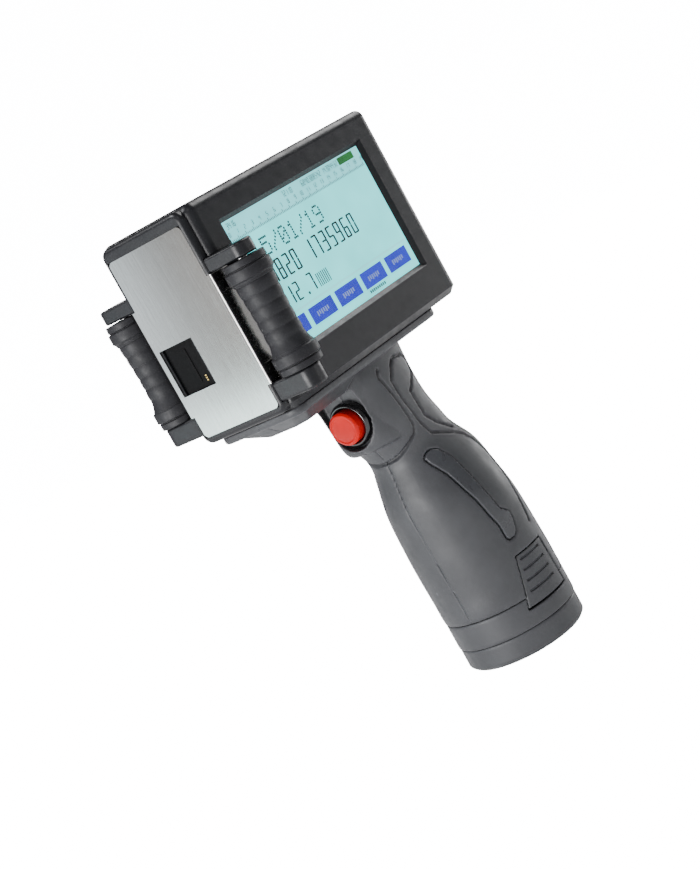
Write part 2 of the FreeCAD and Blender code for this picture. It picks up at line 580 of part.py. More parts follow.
def roller(side, x):
    axis = {"x": x, "y": "-roller_reach"}
    pin = rod("roller_axle_" + side, "z", "axle", "axle_top-axle_floor", x, "-roller_reach", "axle_floor")
    node("roller_axle_" + side, pin)
    length = "roller_top-roller_floor"
    core = tube("roller_core_%s_plain" % side, "z", "core", "bush_outer", length, x, "-roller_reach",
                "roller_floor")
    if side == "right":
        seat = rod("magnet_seat", "z", "core-slack", "magnet_height", x, "-roller_reach", "roller_floor")
        core = cut("roller_core_seated", core, seat)
    node("roller_core_" + side, core)
    node("roller_sleeve_" + side, place(turned("roller_sleeve_" + side, sleeve_outline()), **axis))
    rings = [place(turned("roller_ring_%s_%s" % (name, side), ring_outline(start, way, end)), **axis)
             for name, start, way, end in (("lower", "roller_floor", "+", "sleeve_floor"),
                                           ("upper", "roller_top", "-", "sleeve_top"))]
    node("roller_rings_" + side, group("roller_rings_" + side, *rings))
    bushes = [tube("roller_bush_%s_%s" % (end, side), "z", "bush_outer", "bush_bore", "bush_height", x,
                   "-roller_reach", z)
              for end, z in (("lower", "roller_floor+magnet_height"),
                             ("upper", "roller_top-magnet_height-bush_height"))]
    node("roller_bushes_" + side, group("roller_bushes_" + side, *bushes))


# ---------------------------------------------------------------- screen and electronics

def frame_box(name, x, y, z, width):
    """A flat rectangular ring."""
    whole = box(name + "_whole", x, y, z)
    hole = box(name + "_hole", ("%s-1" % x[0], "%s+1" % x[1]), ("%s+%s" % (y[0], width), "%s-%s" % (y[1],
                                                                                                    width)),
               ("%s+%s" % (z[0], width), "%s-%s" % (z[1], width)))
    return cut(name, whole, hole)


def screen():
    lip = "head_half-bezel_depth"
    glass_face = lip + "-gasket"
    y = ("-screen_front-gasket_width", "screen_rear+gasket_width")
    z = ("screen_floor-gasket_width", "screen_top+gasket_width")
    node("screen_gasket", frame_box("screen_gasket", (glass_face, lip), y, z, "gasket_width"))
    node("touch_glass", box("touch_glass", (glass_face + "-touch_glass", glass_face), y, z))
    glass_back = glass_face + "-touch_glass"
    panel_back = glass_back + "-panel_thick"
    whole = (("-panel_front", "panel_rear"), ("panel_floor", "panel_top"))
    node("lcd_panel", box("lcd_panel", (panel_back, glass_back), *whole))
    carrier = frame_box("lcd_carrier_ring", (panel_back + "-carrier_thick", panel_back), *whole,
                        "carrier_tab")
    bridge = box("lcd_carrier_bridge", (panel_back + "-carrier_thick", panel_back),
                 ("-panel_front", "panel_rear"), ("panel_floor+bridge_floor", "panel_floor+bridge_top"))
    node("lcd_carrier", fuse("lcd_carrier", carrier, bridge))
    return panel_back + "-carrier_thick"


def board(carrier_back):
    """The main board, held off the screen's carrier by four posts and their screws."""
    node("main_board", box("main_board", ("board_face-board_thick", "board_face"),
                           ("-board_front", "board_rear"), ("board_floor", "board_top")))
    corners = [(y, z) for y in ("-board_front+post_inset", "panel_rear-carrier_tab/2")
               for z in ("panel_floor+carrier_tab/2", "board_top-post_inset")]
    posts = []
    screws = []
    for number, (y, z) in enumerate(corners, start=1):
        posts.append(rod("board_post_%d" % number, "x", "post", "%s-board_face" % carrier_back, "board_face",
                         y, z))
        screws.append(rod("board_screw_%d" % number, "x", "small_head", "small_head_height",
                          "board_face-board_thick-small_head_height", y, z))
    node("board_fasteners", group("board_fasteners", *posts, *screws))
    under = "board_face-board_thick"
    chips = [box("processor_chip", ("board_face", "board_face+chip_height"),
                 ("-processor_y", "-processor_y+chip"), ("processor_z", "processor_z+chip"))]
    for number, y in enumerate(MEMORY_Y, start=1):
        chips.append(box("memory_chip_%d" % number, ("board_face", "board_face+chip_height/2"),
                         ("%d" % y, "%d+chip*0.6" % y), ("memory_z", "memory_z+chip*0.75")))
    node("board_chips", group("board_chips", *chips))
    spot = ("-coin_y", "coin_z")
    cell = rod("coin_cell_disc", "x", "coin", "coin_height", under + "-coin_height-coin_foot", *spot)
    ring = tube("coin_cell_ring", "x", "coin+coin_rim", "coin", "coin_rim_height",
                under + "-coin_rim_height", *spot)
    foot = rod("coin_cell_foot", "x", "coin+coin_rim", "coin_foot", under + "-coin_foot", *spot)
    node("coin_cell", group("coin_cell", cell, fuse("coin_cell_holder", ring, foot)))


def inlets():
    middle = "socket_middle"
    y = ("head_rear-usb_depth-0.6", "head_rear-0.6")
    x = (middle + "-usb_thick/2", middle + "+usb_thick/2")
    shell = box("usb_outside", x, y, ("usb_floor", "usb_floor+usb_height"))
    room = box("usb_room", (x[0] + "+usb_shell", x[1] + "-usb_shell"), (y[0] + "+3", y[1] + "+1"),
               ("usb_floor+usb_shell", "usb_floor+usb_height-usb_shell"))
    node("usb_socket", cut("usb_socket", shell, room))
    node("usb_tongue", box("usb_tongue", (x[0] + "+usb_shell+0.3", x[0] + "+usb_shell+0.3+tongue"),
                           (y[0] + "+3", y[1] + "-0.6"), ("usb_floor+1", "usb_floor+usb_height-1")))
    jack_z = "jack_floor+jack_height/2"
    block = box("jack_block", (middle + "-jack_width/2", middle + "+jack_width/2"),
                ("head_rear-wall-jack_depth", "head_rear-wall"), ("jack_floor", "jack_floor+jack_height"))
    nose = rod("jack_nose", "y", "jack_bore+0.6", "wall-0.3", middle, "head_rear-wall", jack_z)
    bore = rod("jack_bore_cut", "y", "jack_bore", "9", middle, "head_rear-8.4", jack_z)
    node("power_inlet", cut("power_inlet", fuse("jack_solid", block, nose), bore))
    node("power_inlet_pin", rod("power_inlet_pin", "y", "jack_pin", "7", middle, "head_rear-8.4", jack_z))
    node("status_lamp", rod("status_lamp", "y", "lamp", "wall+5", middle, "head_rear-wall-5.2", "lamp_z"))


def power_switch():
    middle = "socket_middle"
    z = ("switch_floor", "switch_floor+switch_height")
    lip = box("switch_lip", (middle + "-switch_half", middle + "+switch_half"),
              ("head_rear", "head_rear+switch_lip"), z)
    face = value_of("head_rear+switch_lip")
    lip = rounded("switch_lip_rounded", lip, "0.6", lambda edge: in_plane(edge, "y", face))
    block = box("switch_block", (middle + "-switch_half+0.4", middle + "+switch_half-0.4"),
                ("head_rear-switch_depth", "head_rear"), (z[0] + "+1.1", z[1] + "-1.1"))
    pivot_z = "switch_floor+switch_height/2"
    room = box("switch_room", (middle + "-rocker_half-0.2", middle + "+rocker_half+0.2"),
               ("pivot_y-3.4", "head_rear+switch_lip+1"), (pivot_z + "-rocker_room",
                                                           pivot_z + "+rocker_room"))
    pin_hole = rod("switch_pin_hole", "x", "rocker_pin+0.05", "2*switch_half-1", middle + "-switch_half+0.5",
                   "pivot_y", pivot_z)
    node("switch_body", cut("switch_body", fuse("switch_solid", lip, block), room, pin_hole))
    outline = [("3.8", "-rocker_reach"), ("2.5", "0"), ("3.8", "rocker_reach"), ("-1.5", "rocker_reach-1.2"),
               ("-2.6", "0"), ("-1.5", "-rocker_reach+1.2")]
    paddle = padded("rocker_paddle", "yz", outline, "-rocker_half", "2*rocker_half")
    pins = rod("rocker_pins", "x", "rocker_pin", "2*rocker_half+1", "-rocker_half-0.5")
    rocker = fuse("switch_rocker", paddle, pins)
    turn = Rotation(Vector(1, 0, 0), -value_of("rocker_tilt"))
    node("switch_rocker", place(rocker, middle, "pivot_y", pivot_z, turn))


# ---------------------------------------------------------------- cartridge and rear door

def cradle():
    outer = box("cradle_outside", ("-bay_left-cradle_wall", "-bay_right+cradle_wall"),
                ("-cradle_front", "-cradle_rear"), ("bay_floor-cradle_wall", "bay_top+cradle_wall"))
    room = box("cradle_room", ("-bay_left", "-bay_right"), ("-cradle_front-1", "-cradle_rear+1"),
               ("bay_floor", "bay_top"))
    slot = box("contact_slot", ("-bay_left+pad_inset", "-bay_right-pad_inset"),
               ("-cradle_front+1", "-cradle_front+1+pad_length"), ("bay_floor-cradle_wall-1", "bay_floor+1"))
    node("cartridge_cradle", cut("cartridge_cradle", outer, room, slot))
    seat = "bay_floor-contact_drop"
    block = box("contact_block_base", ("-bay_left+pad_inset+fit", "-bay_right-pad_inset-fit"),
                ("-cradle_front+1+fit", "-cradle_front+1-fit+pad_length"), ("bay_floor-contact_height", seat))
    pins = []
    for row in range(3):
        for column in range(4):
            x = "-bay_left+contact_start+%d*contact_column" % column
            y = "-cradle_front+pad_inset+%d*contact_row" % row
            pins.append(rod("contact_pin_%d_%d" % (row, column), "z", "contact_pin",
                            "contact_drop+cartridge_play-fit", x, y, seat))
    node("contact_block", group("contact_block", block, *pins))
    level = "bay_floor-contact_height+2*fit"
    board_back = "board_face-board_thick-fit"
    cable_y = ("-cradle_front+cable_start", "-cradle_front+cable_end")
    cable = [box("cable_flat", ("-bay_right-pad_inset-fit", board_back), cable_y,
                 (level, level + "+cable_thick")),
             box("cable_rise", (board_back + "-cable_thick", board_back), cable_y, (level, "board_floor+10"))]
    node("flat_cable", fuse("flat_cable", *cable))


def cartridge():
    left = "-bay_left+cartridge_play"
    right = "-bay_right-cartridge_play"
    body = box("cartridge_body", (left, right), ("-cartridge_front", "-cartridge_rear"),
               ("bay_floor+cartridge_play", "bay_top-cartridge_play"))
    rear = -value_of("cartridge_rear")
    body = rounded("cartridge_rounded", body, "cartridge_corner",
                   lambda edge: along(edge, "x") and abs(edge_middle(edge).y - rear) < 0.01)
    snout = box("cartridge_snout", (left + "+snout_play", right + "-snout_play"),
                ("-snout_reach", "-cartridge_front"), ("snout_floor", "snout_top"))
    pull_top = "bay_top-cartridge_play-pull_drop"
    pull = box("cartridge_pull", (left + "+pull_inset", right + "-pull_inset"),
               ("-cartridge_rear", "-cartridge_rear+pull_reach"), (pull_top + "-pull_height", pull_top))
    node("ink_cartridge", fuse("ink_cartridge", body, snout, pull))
    middle = "-(bay_left+bay_right)/2"
    node("nozzle_plate", box("nozzle_plate", (middle + "-nozzle_half", middle + "+nozzle_half"),
                             ("-snout_reach-nozzle_thick", "-snout_reach"),
                             ("snout_floor+nozzle_inset", "snout_top-nozzle_inset")))


def rear_door():
    """A door as tall as the bay, hinged on a pin inside its rounded left edge."""
    left = "-doorway_left+door_play"
    right = "-doorway_right-door_play"
    panel = box("door_panel", (left, right), ("head_rear-door_thick", "head_rear"),
                ("doorway_floor+door_play", "doorway_top-door_play"))
    edge_x = value_of(left)
    panel = rounded("door_rounded", panel, "door_thick/2-0.001",
                    lambda edge: along(edge, "z") and abs(edge_middle(edge).x - edge_x) < 0.01)
    pin_x = left + "+door_thick/2"
    pin_y = "head_rear-door_thick/2"
    hole = rod("door_pin_room", "z", "door_pin+0.05", "doorway_top-doorway_floor+4", pin_x, pin_y,
               "doorway_floor-2")
    finger = rod("door_finger_cut", "x", "door_pull", "4", right + "-3", "head_rear+door_pull-1.6",
                 "(doorway_floor+doorway_top)/2")
    node("rear_door", cut("rear_door", panel, hole, finger))
    node("door_hinge_pin", rod("door_hinge_pin", "z", "door_pin", "doorway_top-doorway_floor+4", pin_x, pin_y,
                               "doorway_floor-2"))


# ---------------------------------------------------------------- handle

def grip_section(station, inset):
    """The right half of one section, between an ellipse and a rounded rectangle, closed at X = 0."""
    z, width, depth, middle, square = [value_of("%s_%s" % (station, field)) for field in STATION_FIELDS]
    power = 2 / square
    steps = 16
    points = []
    for step in range(steps + 1):
        angle = math.pi * (step / steps - 0.5)
        across = max(math.cos(angle), 0) ** power
        deep = math.copysign(abs(math.sin(angle)) ** power, math.sin(angle))
        points.append(Vector((width - inset) * across, middle + (depth - inset) * deep, z))
    points[0].x = 0
    points[-1].x = 0
    curve = Part.BSplineCurve()
    curve.interpolate(Points=points, InitialTangent=Vector(1, 0, 0), FinalTangent=Vector(-1, 0, 0))
    return Part.Wire([curve.toShape(), Part.LineSegment(points[-1], points[0]).toShape()])


def station_half(name, stations, inset):
    """The right half of a solid lofted through its stations, drawn in by an inset all round."""
    sections = [grip_section(station[0], inset) for station in stations]
    item = doc.addObject("Part::Feature", name)
    item.Shape = Part.makeLoft(sections, True, False)
    return item


def grip_half(name, inset):
    return station_half(name, GRIP_STATIONS, inset)


def chin_half(name, inset):
    """Right half of the chin, which narrows downwards from the shelf."""
    rims = []
    for half, nose, heel, level in (("chin_half", "chin_nose", "chin_heel", "chin_floor"),
                                    ("chin_base_half", "chin_base_nose", "chin_base_heel", "chin_top")):
        side = value_of(half) - inset
        front = inset - value_of(nose)
        rear = -inset - value_of(heel)
        corner = value_of("chin_corner")
        z = value_of(level) + (inset if level == "chin_floor" else 0)
        rims.append(Part.makePolygon([Vector(0, front, z), Vector(side - corner, front, z),
                                      Vector(side, front + corner, z), Vector(side, rear, z),
                                      Vector(0, rear, z), Vector(0, front, z)]))
    item = doc.addObject("Part::Feature", name)
    item.Shape = Part.makeLoft(rims, True, True)
    return item


def shelf():
    """Right half of the flat shelf under the head."""
    outline = [("0", "-shelf_front"), ("shelf_half", "-shelf_front"), ("shelf_half", "shelf_rear"),
               ("0", "shelf_rear")]
    plate = padded("shelf_plate", "xy", outline, "shelf_floor", "shelf_top-shelf_floor")
    floor = value_of("shelf_floor")
    dressed(plate, "Fillet", "shelf_corner", lambda edge: along(edge, "z") and edge_middle(edge).x > 1)
    dressed(plate, "Fillet", "shelf_edge", lambda edge: in_plane(edge, "z",
                                                                 floor) and edge_middle(edge).x > 0.1)
    return plate


def mouth(name, wall, y):
    """An upright slot with a round lower end, in front of and around the button."""
    reach = "mouth+(%s)" % wall
    length = "%s-(%s)" % (y[1], y[0])
    return fuse(name, rod(name + "_round", "y", reach, length, "0", y[0], "button_z"),
                box(name + "_straight", ("-(%s)" % reach, reach), y, ("button_z", "chin_floor+(%s)" % wall)))


def unit_normal(start, end):
    length = math.dist(start, end)
    return ((start[1] - end[1]) / length, (end[0] - start[0]) / length)


def shifted(points, reach, closed=False):
    """The points of a line moved sideways by an even distance, with its corners kept sharp."""
    moved = []
    last = len(points) - 1
    for index, point in enumerate(points):
        before = points[index - 1] if index > 0 or closed else point
        after = points[(index + 1) % len(points)] if index < last or closed else point
        normals = [unit_normal(*ends) for ends in ((before, point), (point, after)) if ends[0] != ends[1]]
        across = [sum(normal[axis] for normal in normals) for axis in (0, 1)]
        scale = len(normals) * reach / (across[0] ** 2 + across[1] ** 2)
        moved.append((point[0] + scale * across[0], point[1] + scale * across[1]))
    return moved


def side_prism(name, outline, start):
    """An outline of (y, z) points in numbers, padded from a level out past the grip's side."""
    texts = [("%.3f" % y, "%.3f" % z) for y, z in outline]
    return padded(name, "yz", texts, start, "band+4-(%s)" % start)


def sunk_lines(skin):
    """The lines pressed into the right side of the grip and its pod, down to the skin."""
    half = value_of("line_width/2")
    tools = []
    for number, points in enumerate(LINES, start=1):
        outline = shifted(points, half) + shifted(points, -half)[::-1]
        tools.append(cut("line_%d" % number, side_prism("line_prism_%d" % number, outline, "-1"), skin))
    return tools


def tab_outline(grow, slot, drop="0"):
    """The latch tab's outline, a panel that widens downwards: (y, z)."""
    foot = "tab_floor-(%s)" % drop
    head = "tab_top+(%s)" % grow
    return [("-tab_foot_front-(%s)" % grow, foot), ("tab_foot_rear+(%s)" % slot, foot),
            ("tab_top_rear+(%s)" % slot, head), ("-tab_top_front-(%s)" % grow, head)]


def tab_room(name, drop):
    """The opening for the right latch tab, through every wall outside the battery's tower."""
    prism = padded(name + "_prism", "yz", tab_outline("tab_gap", "tab_slot", drop), "tab_start",
                   "band+2-tab_start")
    ring = tube(name + "_ring", "z", "band+2", "tower+tab_gap", "tab_top-tab_floor+6", "0", "0",
                "tab_floor-3")
    return common(name, ring, prism)


def handle_half():
    """What both handle halves have, drawn for the right one: a shell with its bosses, seats and openings."""
    wall = value_of("grip_wall")
    pod = station_half("pod_outside", POD_STATIONS, 0)
    blank = fuse("handle_blank", grip_half("grip_outside", 0), shelf(), chin_half("chin_outside", 0), pod)
    trim = box("grip_top_trim", ("-1", "40"), ("-100", "60"), ("shelf_top", "shelf_top+20"))
    mass = cut("handle_mass", blank, trim)
    roof = box("grip_roof", ("-1", "shelf_half"), ("-shelf_front", "shelf_rear"),
               ("shelf_top-grip_wall", "shelf_top+20"))
    rooms = cut("handle_rooms", fuse("handle_rooms_joined", grip_half("grip_inside", wall),
                                     chin_half("chin_inside", wall)), roof)
    mouth_backing = mouth("mouth_backing", "mouth_wall", ("-button_face-5", "-nut_front"))
    room = cut("handle_room", rooms, mouth_backing, *bosses("handle", HANDLE_SCREWS, "head_half"))
    skin = grip_half("grip_skin", value_of("inlay_depth"))
    cuts = [
        room,
        mouth("button_mouth", "0", ("-chin_base_nose", "-seat")),
        rod("button_port", "y", "barrel+0.1", "10", "0", "-seat-1", "button_z"),
        rod("nut_seat", "y", "nut_seat", "8", "0", "-nut_front", "button_z"),
        cut("inlay_room", side_prism("inlay_cut", INLAY, "6"), skin),
        tab_room("handle_tab_room", "1"),
    ]
    cuts += sunk_lines(grip_half("line_skin", value_of("line_depth")))
    for number, (x, y) in enumerate(SHELF_SCREWS, start=1):
        if x > 0:
            cuts.append(rod("shelf_hole_%d" % number, "z", "screw", "shelf_top-shelf_floor+1.5", str(x),
                            str(y),
                            "shelf_floor-0.5"))
    return cut("handle_half", mass, *cuts)


def handle():
    half = handle_half()
    pilots = []
    seats = []
    for number, (y, z) in enumerate(HANDLE_SCREWS, start=1):
        outer = str(seat_level(y, z))
        pilots.append(rod("handle_pilot_%d" % number, "x", "screw", "screw_reach+1", "-1", str(y), str(z)))
        seats += screw_holes("handle_%d" % number, [(y, z)], outer)
    wire_hole = rod("handle_lead_hole", "z", "lead_hole", "10", "lead_x", "-lead_y", "shelf_top-8")
    node("handle_shell_right", cut("handle_shell_right", half, wire_hole, *pilots))
    node("handle_shell_left", cut("handle_shell_left", mirrored("handle_half_left", half), *seats))
    outers = [str(seat_level(y, z)) for y, z in HANDLE_SCREWS]
    cross_screws("handle_screws", HANDLE_SCREWS, outers)
    outside = grip_half("inlay_outside", 0)
    rind = cut("grip_rind", outside, grip_half("inlay_skin", value_of("inlay_depth")))
    island = shifted(INLAY, -value_of("inlay_gap"), closed=True)
    inlay = common("grip_inlay_right", side_prism("inlay_blank", island, "6.05"), rind)
    node("grip_inlay_right", inlay)
    node("grip_inlay_left", mirrored("grip_inlay_left", inlay))


def half_width_at(y, z):
    """How far the handle's side stands from the middle plane at a place on its side."""
    rows = [[value_of("%s_%s" % (station[0],
                                 field)) for field in STATION_FIELDS] for station in GRIP_STATIONS]
    for low, high in zip(rows, rows[1:]):
        if low[0] <= z <= high[0]:
            share = (z - low[0]) / (high[0] - low[0])
            width, depth, middle, square = [a + (b - a) * share for a, b in zip(low[1:], high[1:])]
            return width * (1 - (abs(y - middle) / depth) ** square) ** (1 / square)
    raise ValueError("the grip has no side at that height")


def seat_level(y, z):
    """How far out a casing screw's head may stand and still lie inside the curved side all round."""
    rim = value_of("screw_head")
    return min(half_width_at(y + dy, z + dz) for dy, dz in ((0, 0), (rim, 0), (-rim, 0), (0, rim), (0, -rim)))


def shelf_screws():
    pieces = []
    for number, (x, y) in enumerate(SHELF_SCREWS, start=1):
        head = rod("shelf_screw_head_%d" % number, "z", "screw_head", "screw_head_height", str(x), str(y),
                   "head_floor+wall")
        shank = rod("shelf_screw_shank_%d" % number, "z", "screw", "head_floor+wall-shelf_floor-0.4", str(x),
                    str(y),
                    "shelf_floor+0.4")
        pieces.append(fuse("shelf_screw_%d" % number, head, shank))
    node("shelf_screws", group("shelf_screws", *pieces))


# ---------------------------------------------------------------- trigger button

def trigger():
    bezel = tube("bezel_ring", "y", "bezel", "barrel_bore", "bezel_face-seat", "0", "-bezel_face", "button_z")
    front = -value_of("bezel_face")
    outer = value_of("bezel")
    bezel = rounded("bezel_rounded", bezel, "0.5",
                    lambda edge: in_plane(edge, "y", front) and edge.BoundBox.XMax > outer - 0.1)
    barrel = tube("bezel_barrel", "y", "barrel", "barrel_bore", "seat-shoulder", "0", "-seat", "button_z")
    neck = tube("bezel_neck", "y", "barrel", "stem_bore", "shoulder-barrel_rear", "0", "-shoulder",
                "button_z")
    node("button_bezel", fuse("button_bezel", bezel, barrel, neck))
    hexagon = doc.addObject("Part::Prism", "nut_hexagon")
    hexagon.Polygon = 6
    bind(hexagon, Circumradius="nut", Height="nut_thick")
    place(hexagon, "0", "-nut_front", "button_z", TURNS["y"])
    node("button_nut", cut("button_nut", hexagon, rod("nut_bore", "y", "barrel", "nut_thick+2", "0",
                                                      "-nut_front-1", "button_z")))
    cap = rod("cap_disc", "y", "button_cap", "button_face-cap_back", "0", "-button_face", "button_z")
    face = -value_of("button_face")
    cap = rounded("cap_rounded", cap, "1.2", lambda edge: in_plane(edge, "y", face))
    stem = rod("cap_stem", "y", "stem", "cap_back-stem_rear", "0", "-cap_back", "button_z")
    node("button_cap", fuse("button_cap", cap, stem))
    node("button_spring", button_spring())
    block = box("button_block", ("-button_block_half", "button_block_half"), ("-barrel_rear",
                                                                              "-button_block_rear"),
                ("button_z-button_block_half", "button_z+button_block_half"))
    room = rod("button_block_room", "y", "stem_bore", "6", "0", "-barrel_rear-1", "button_z")
    terminals = [box("button_terminal_%d" % number, ("%s-1.2" % x, "%s+1.2" % x),
                     ("-button_block_rear", "-button_block_rear+5"), ("button_z-terminal/2",
                                                                      "button_z+terminal/2"))
                 for number, x in enumerate((-3, 3), start=1)]
    node("button_contact_block", group("button_contact_block", cut("button_block_bored", block, room),
                                       *terminals))


def button_spring():
    """A coil between the cap and the barrel's shoulder, lofted through sections along its helix."""
    turns = value_of("spring_turns")
    rise = value_of("cap_back-shoulder-2*spring_wire")
    radius = value_of("spring_radius")
    steps = int(turns * SPRING_STEPS)
    sections = []
    for step in range(steps + 1):
        angle = 2 * math.pi * step / SPRING_STEPS
        outward = Vector(math.cos(angle), math.sin(angle), 0)
        forward = Vector(-outward.y, outward.x, rise / (2 * math.pi * radius * turns))
        section = Part.Circle(outward * radius + Vector(0, 0, rise * step / steps), forward,
                              value_of("spring_wire"))
        section.XAxis = outward
        sections.append(Part.Wire([section.toShape()]))
    item = doc.addObject("Part::Feature", "button_spring")
    item.Shape = Part.makeLoft(sections, True, True)
    return place(item, "0", "-cap_back+spring_wire", "button_z", TURNS["y"])


# ---------------------------------------------------------------- battery

def battery():
    foot = turned("battery_foot", [
        ("0", "0"), ("foot-foot_edge", "0"), ("foot", "foot_edge"), ("foot", "foot_height-seam_edge"),
        ("foot-seam_edge", "foot_height"), ("tower_bore", "foot_height"), ("tower_bore", "cell_seat"),
        ("0", "cell_seat")])
    node("battery_foot", foot)
    case = turned("battery_case_blank", [
        ("tower_bore", "band_floor"), ("band-seam_edge", "band_floor"), ("band", "band_floor+seam_edge"),
        ("band", "band_top-seam_edge"), ("band-seam_edge", "band_top"), ("band_bore", "band_top"),
        ("band_bore", "band_floor+band_floor_thick"), ("tower", "band_floor+band_floor_thick"),
        ("tower", "tower_top-tower_edge"), ("tower-tower_edge", "tower_top"), ("0", "tower_top"),
        ("0", "tower_top-tower_roof"), ("tower_bore", "tower_top-tower_roof")])
    openings = [tab_room("band_tab_right", "1")]
    openings.append(mirrored("band_tab_left", openings[0]))
    node("battery_case", cut("battery_case", case, *openings))
    cells = []
    for number in range(3):
        angle = math.radians(90 + 120 * number)
        reach = 2 * value_of("cell") / math.sqrt(3) + 0.1
        cells.append(rod("battery_cell_%d" % (number + 1), "z", "cell", "cell_height",
                         str(reach * math.cos(angle)),
                         str(reach * math.sin(angle)), "cell_floor"))
    node("battery_cells", group("battery_cells", *cells))
    pads = []
    pins = []
    for number in (-1, 0, 1):
        x = "%d*pad_gap" % number
        pads.append(rod("battery_pad_%d" % (number + 2), "z", "pack_pad", "pad_height", x, "0", "tower_top"))
        pins.append(rod("battery_pin_%d" % (number + 2), "z", "pogo",
                        "base_floor-tower_top-pad_height-pogo_gap", x, "0",
                        "tower_top+pad_height+pogo_gap"))
    node("battery_pads", group("battery_pads", *pads))
    slab = box("contact_base_slab", ("-1", "40"), ("-40", "40"), ("base_floor", "base_floor+base_thick"))
    room = grip_half("contact_base_room", value_of("grip_wall+0.1"))
    base = cut("contact_base_half", common("contact_base_slice", room, slab), *bosses("base", HANDLE_SCREWS,
                                                                                      "head_half"))
    plate = fuse("contact_base_plate", base, mirrored("contact_base_left", base))
    node("battery_contact_base", group("battery_contact_base", plate, *pins))
    lead = rod("power_lead_wire", "z", "lead", "board_floor+2-base_floor-base_thick", "lead_x", "-lead_y",
               "base_floor+base_thick")
    plug = box("power_lead_plug", ("lead_x-2.2", "board_face-board_thick"), ("-lead_y-3", "-lead_y+3"),
               ("board_floor+2", "board_floor+9"))
    node("power_lead", group("power_lead", lead, plug))


def latch_tabs():
    ring = tube("tab_ring", "z", "tab_outer", "tab_inner", "tab_top-tab_floor+2", "0", "0", "tab_floor-1")
    prism = padded("tab_prism", "yz", tab_outline("0", "0"), "tab_start", "band+2-tab_start")
    panel = common("tab_panel", ring, prism)
    bars = []
    for number in range(TAB_LINES):
        middle = "tab_grip_top-%d*tab_grip_pitch" % number
        bars.append(box("tab_bar_%d" % (number + 1), ("tab_start", "tab_outer+1"),
                        ("-tab_grip_front-%d*tab_grip_slant" % number, "tab_grip_rear"),
                        (middle + "-tab_grip_width/2", middle + "+tab_grip_width/2")))
    rind = tube("tab_rind", "z", "tab_outer+2", "tab_outer-tab_grip_depth", "tab_top-tab_floor", "0", "0",
                "tab_floor")
    lines = common("tab_lines", group("tab_bars", *bars), rind)
    right = cut("battery_latch_right", panel, lines)
    node("battery_latch_right", right)
    node("battery_latch_left", mirrored("battery_latch_left", right))


# ---------------------------------------------------------------- whole printer

def check_document():
    failed = [item.Name for item in doc.Objects if {"Invalid", "Error"} & set(item.State)]
    if failed:
        raise RuntimeError("these features failed: %s" % ", ".join(failed))
    for name, item in nodes.items():
        if item.Shape.isNull() or not item.Shape.isValid() or not item.Shape.Solids:
            raise RuntimeError("the shape of %s is empty or not valid" % name)


def write_parts():
    os.makedirs("parts", exist_ok=True)
    for name, item in nodes.items():
        item.Shape.exportStep(os.path.join("parts", name + ".step"))


fill_sheet()
head_casing()
front_plate()
roller_brackets()
roller_counter()
roller("right", "roller_half")
roller("left", "-roller_half")
board(screen())
inlets()
power_switch()
cradle()
cartridge()
rear_door()
handle()
shelf_screws()
trigger()
battery()
latch_tabs()
doc.recompute()
check_document()
write_parts()
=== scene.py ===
import json
import math
import random

import bmesh
import bpy
from mathutils import Matrix, Vector

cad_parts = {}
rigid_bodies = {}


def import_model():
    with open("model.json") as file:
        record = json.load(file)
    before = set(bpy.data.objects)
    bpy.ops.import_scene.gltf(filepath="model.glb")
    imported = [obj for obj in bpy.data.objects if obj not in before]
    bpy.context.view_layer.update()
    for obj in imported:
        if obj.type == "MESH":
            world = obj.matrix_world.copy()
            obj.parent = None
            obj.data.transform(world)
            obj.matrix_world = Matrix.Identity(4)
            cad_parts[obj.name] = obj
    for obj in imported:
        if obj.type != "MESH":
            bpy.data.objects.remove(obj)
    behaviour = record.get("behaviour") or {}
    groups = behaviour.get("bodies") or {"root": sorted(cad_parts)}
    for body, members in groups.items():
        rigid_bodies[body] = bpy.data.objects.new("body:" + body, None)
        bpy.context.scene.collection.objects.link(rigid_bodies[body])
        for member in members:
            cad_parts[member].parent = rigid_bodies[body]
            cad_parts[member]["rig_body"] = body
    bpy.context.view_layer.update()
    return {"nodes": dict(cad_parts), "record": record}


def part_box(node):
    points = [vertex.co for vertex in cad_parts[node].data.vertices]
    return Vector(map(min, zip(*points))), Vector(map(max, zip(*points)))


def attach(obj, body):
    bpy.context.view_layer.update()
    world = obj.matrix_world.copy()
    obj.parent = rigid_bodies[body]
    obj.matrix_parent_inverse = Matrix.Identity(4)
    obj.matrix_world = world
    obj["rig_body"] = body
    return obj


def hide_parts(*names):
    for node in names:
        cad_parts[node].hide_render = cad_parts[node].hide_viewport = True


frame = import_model()
MM = 0.001
SIDES = {"right": 1, "left": -1}

# Places in millimetres: the button's height, and each roller's axle and ends
BUTTON_Z = 117.2
ROLLER_X, ROLLER_Y = 33.3, -78.9
ROLLER_FLOOR, ROLLER_TOP = 152.0, 196.8
SLEEVE_FLOOR, SLEEVE_TOP = 159.7, 188.9

# ---------------------------------------------------------------- material kit


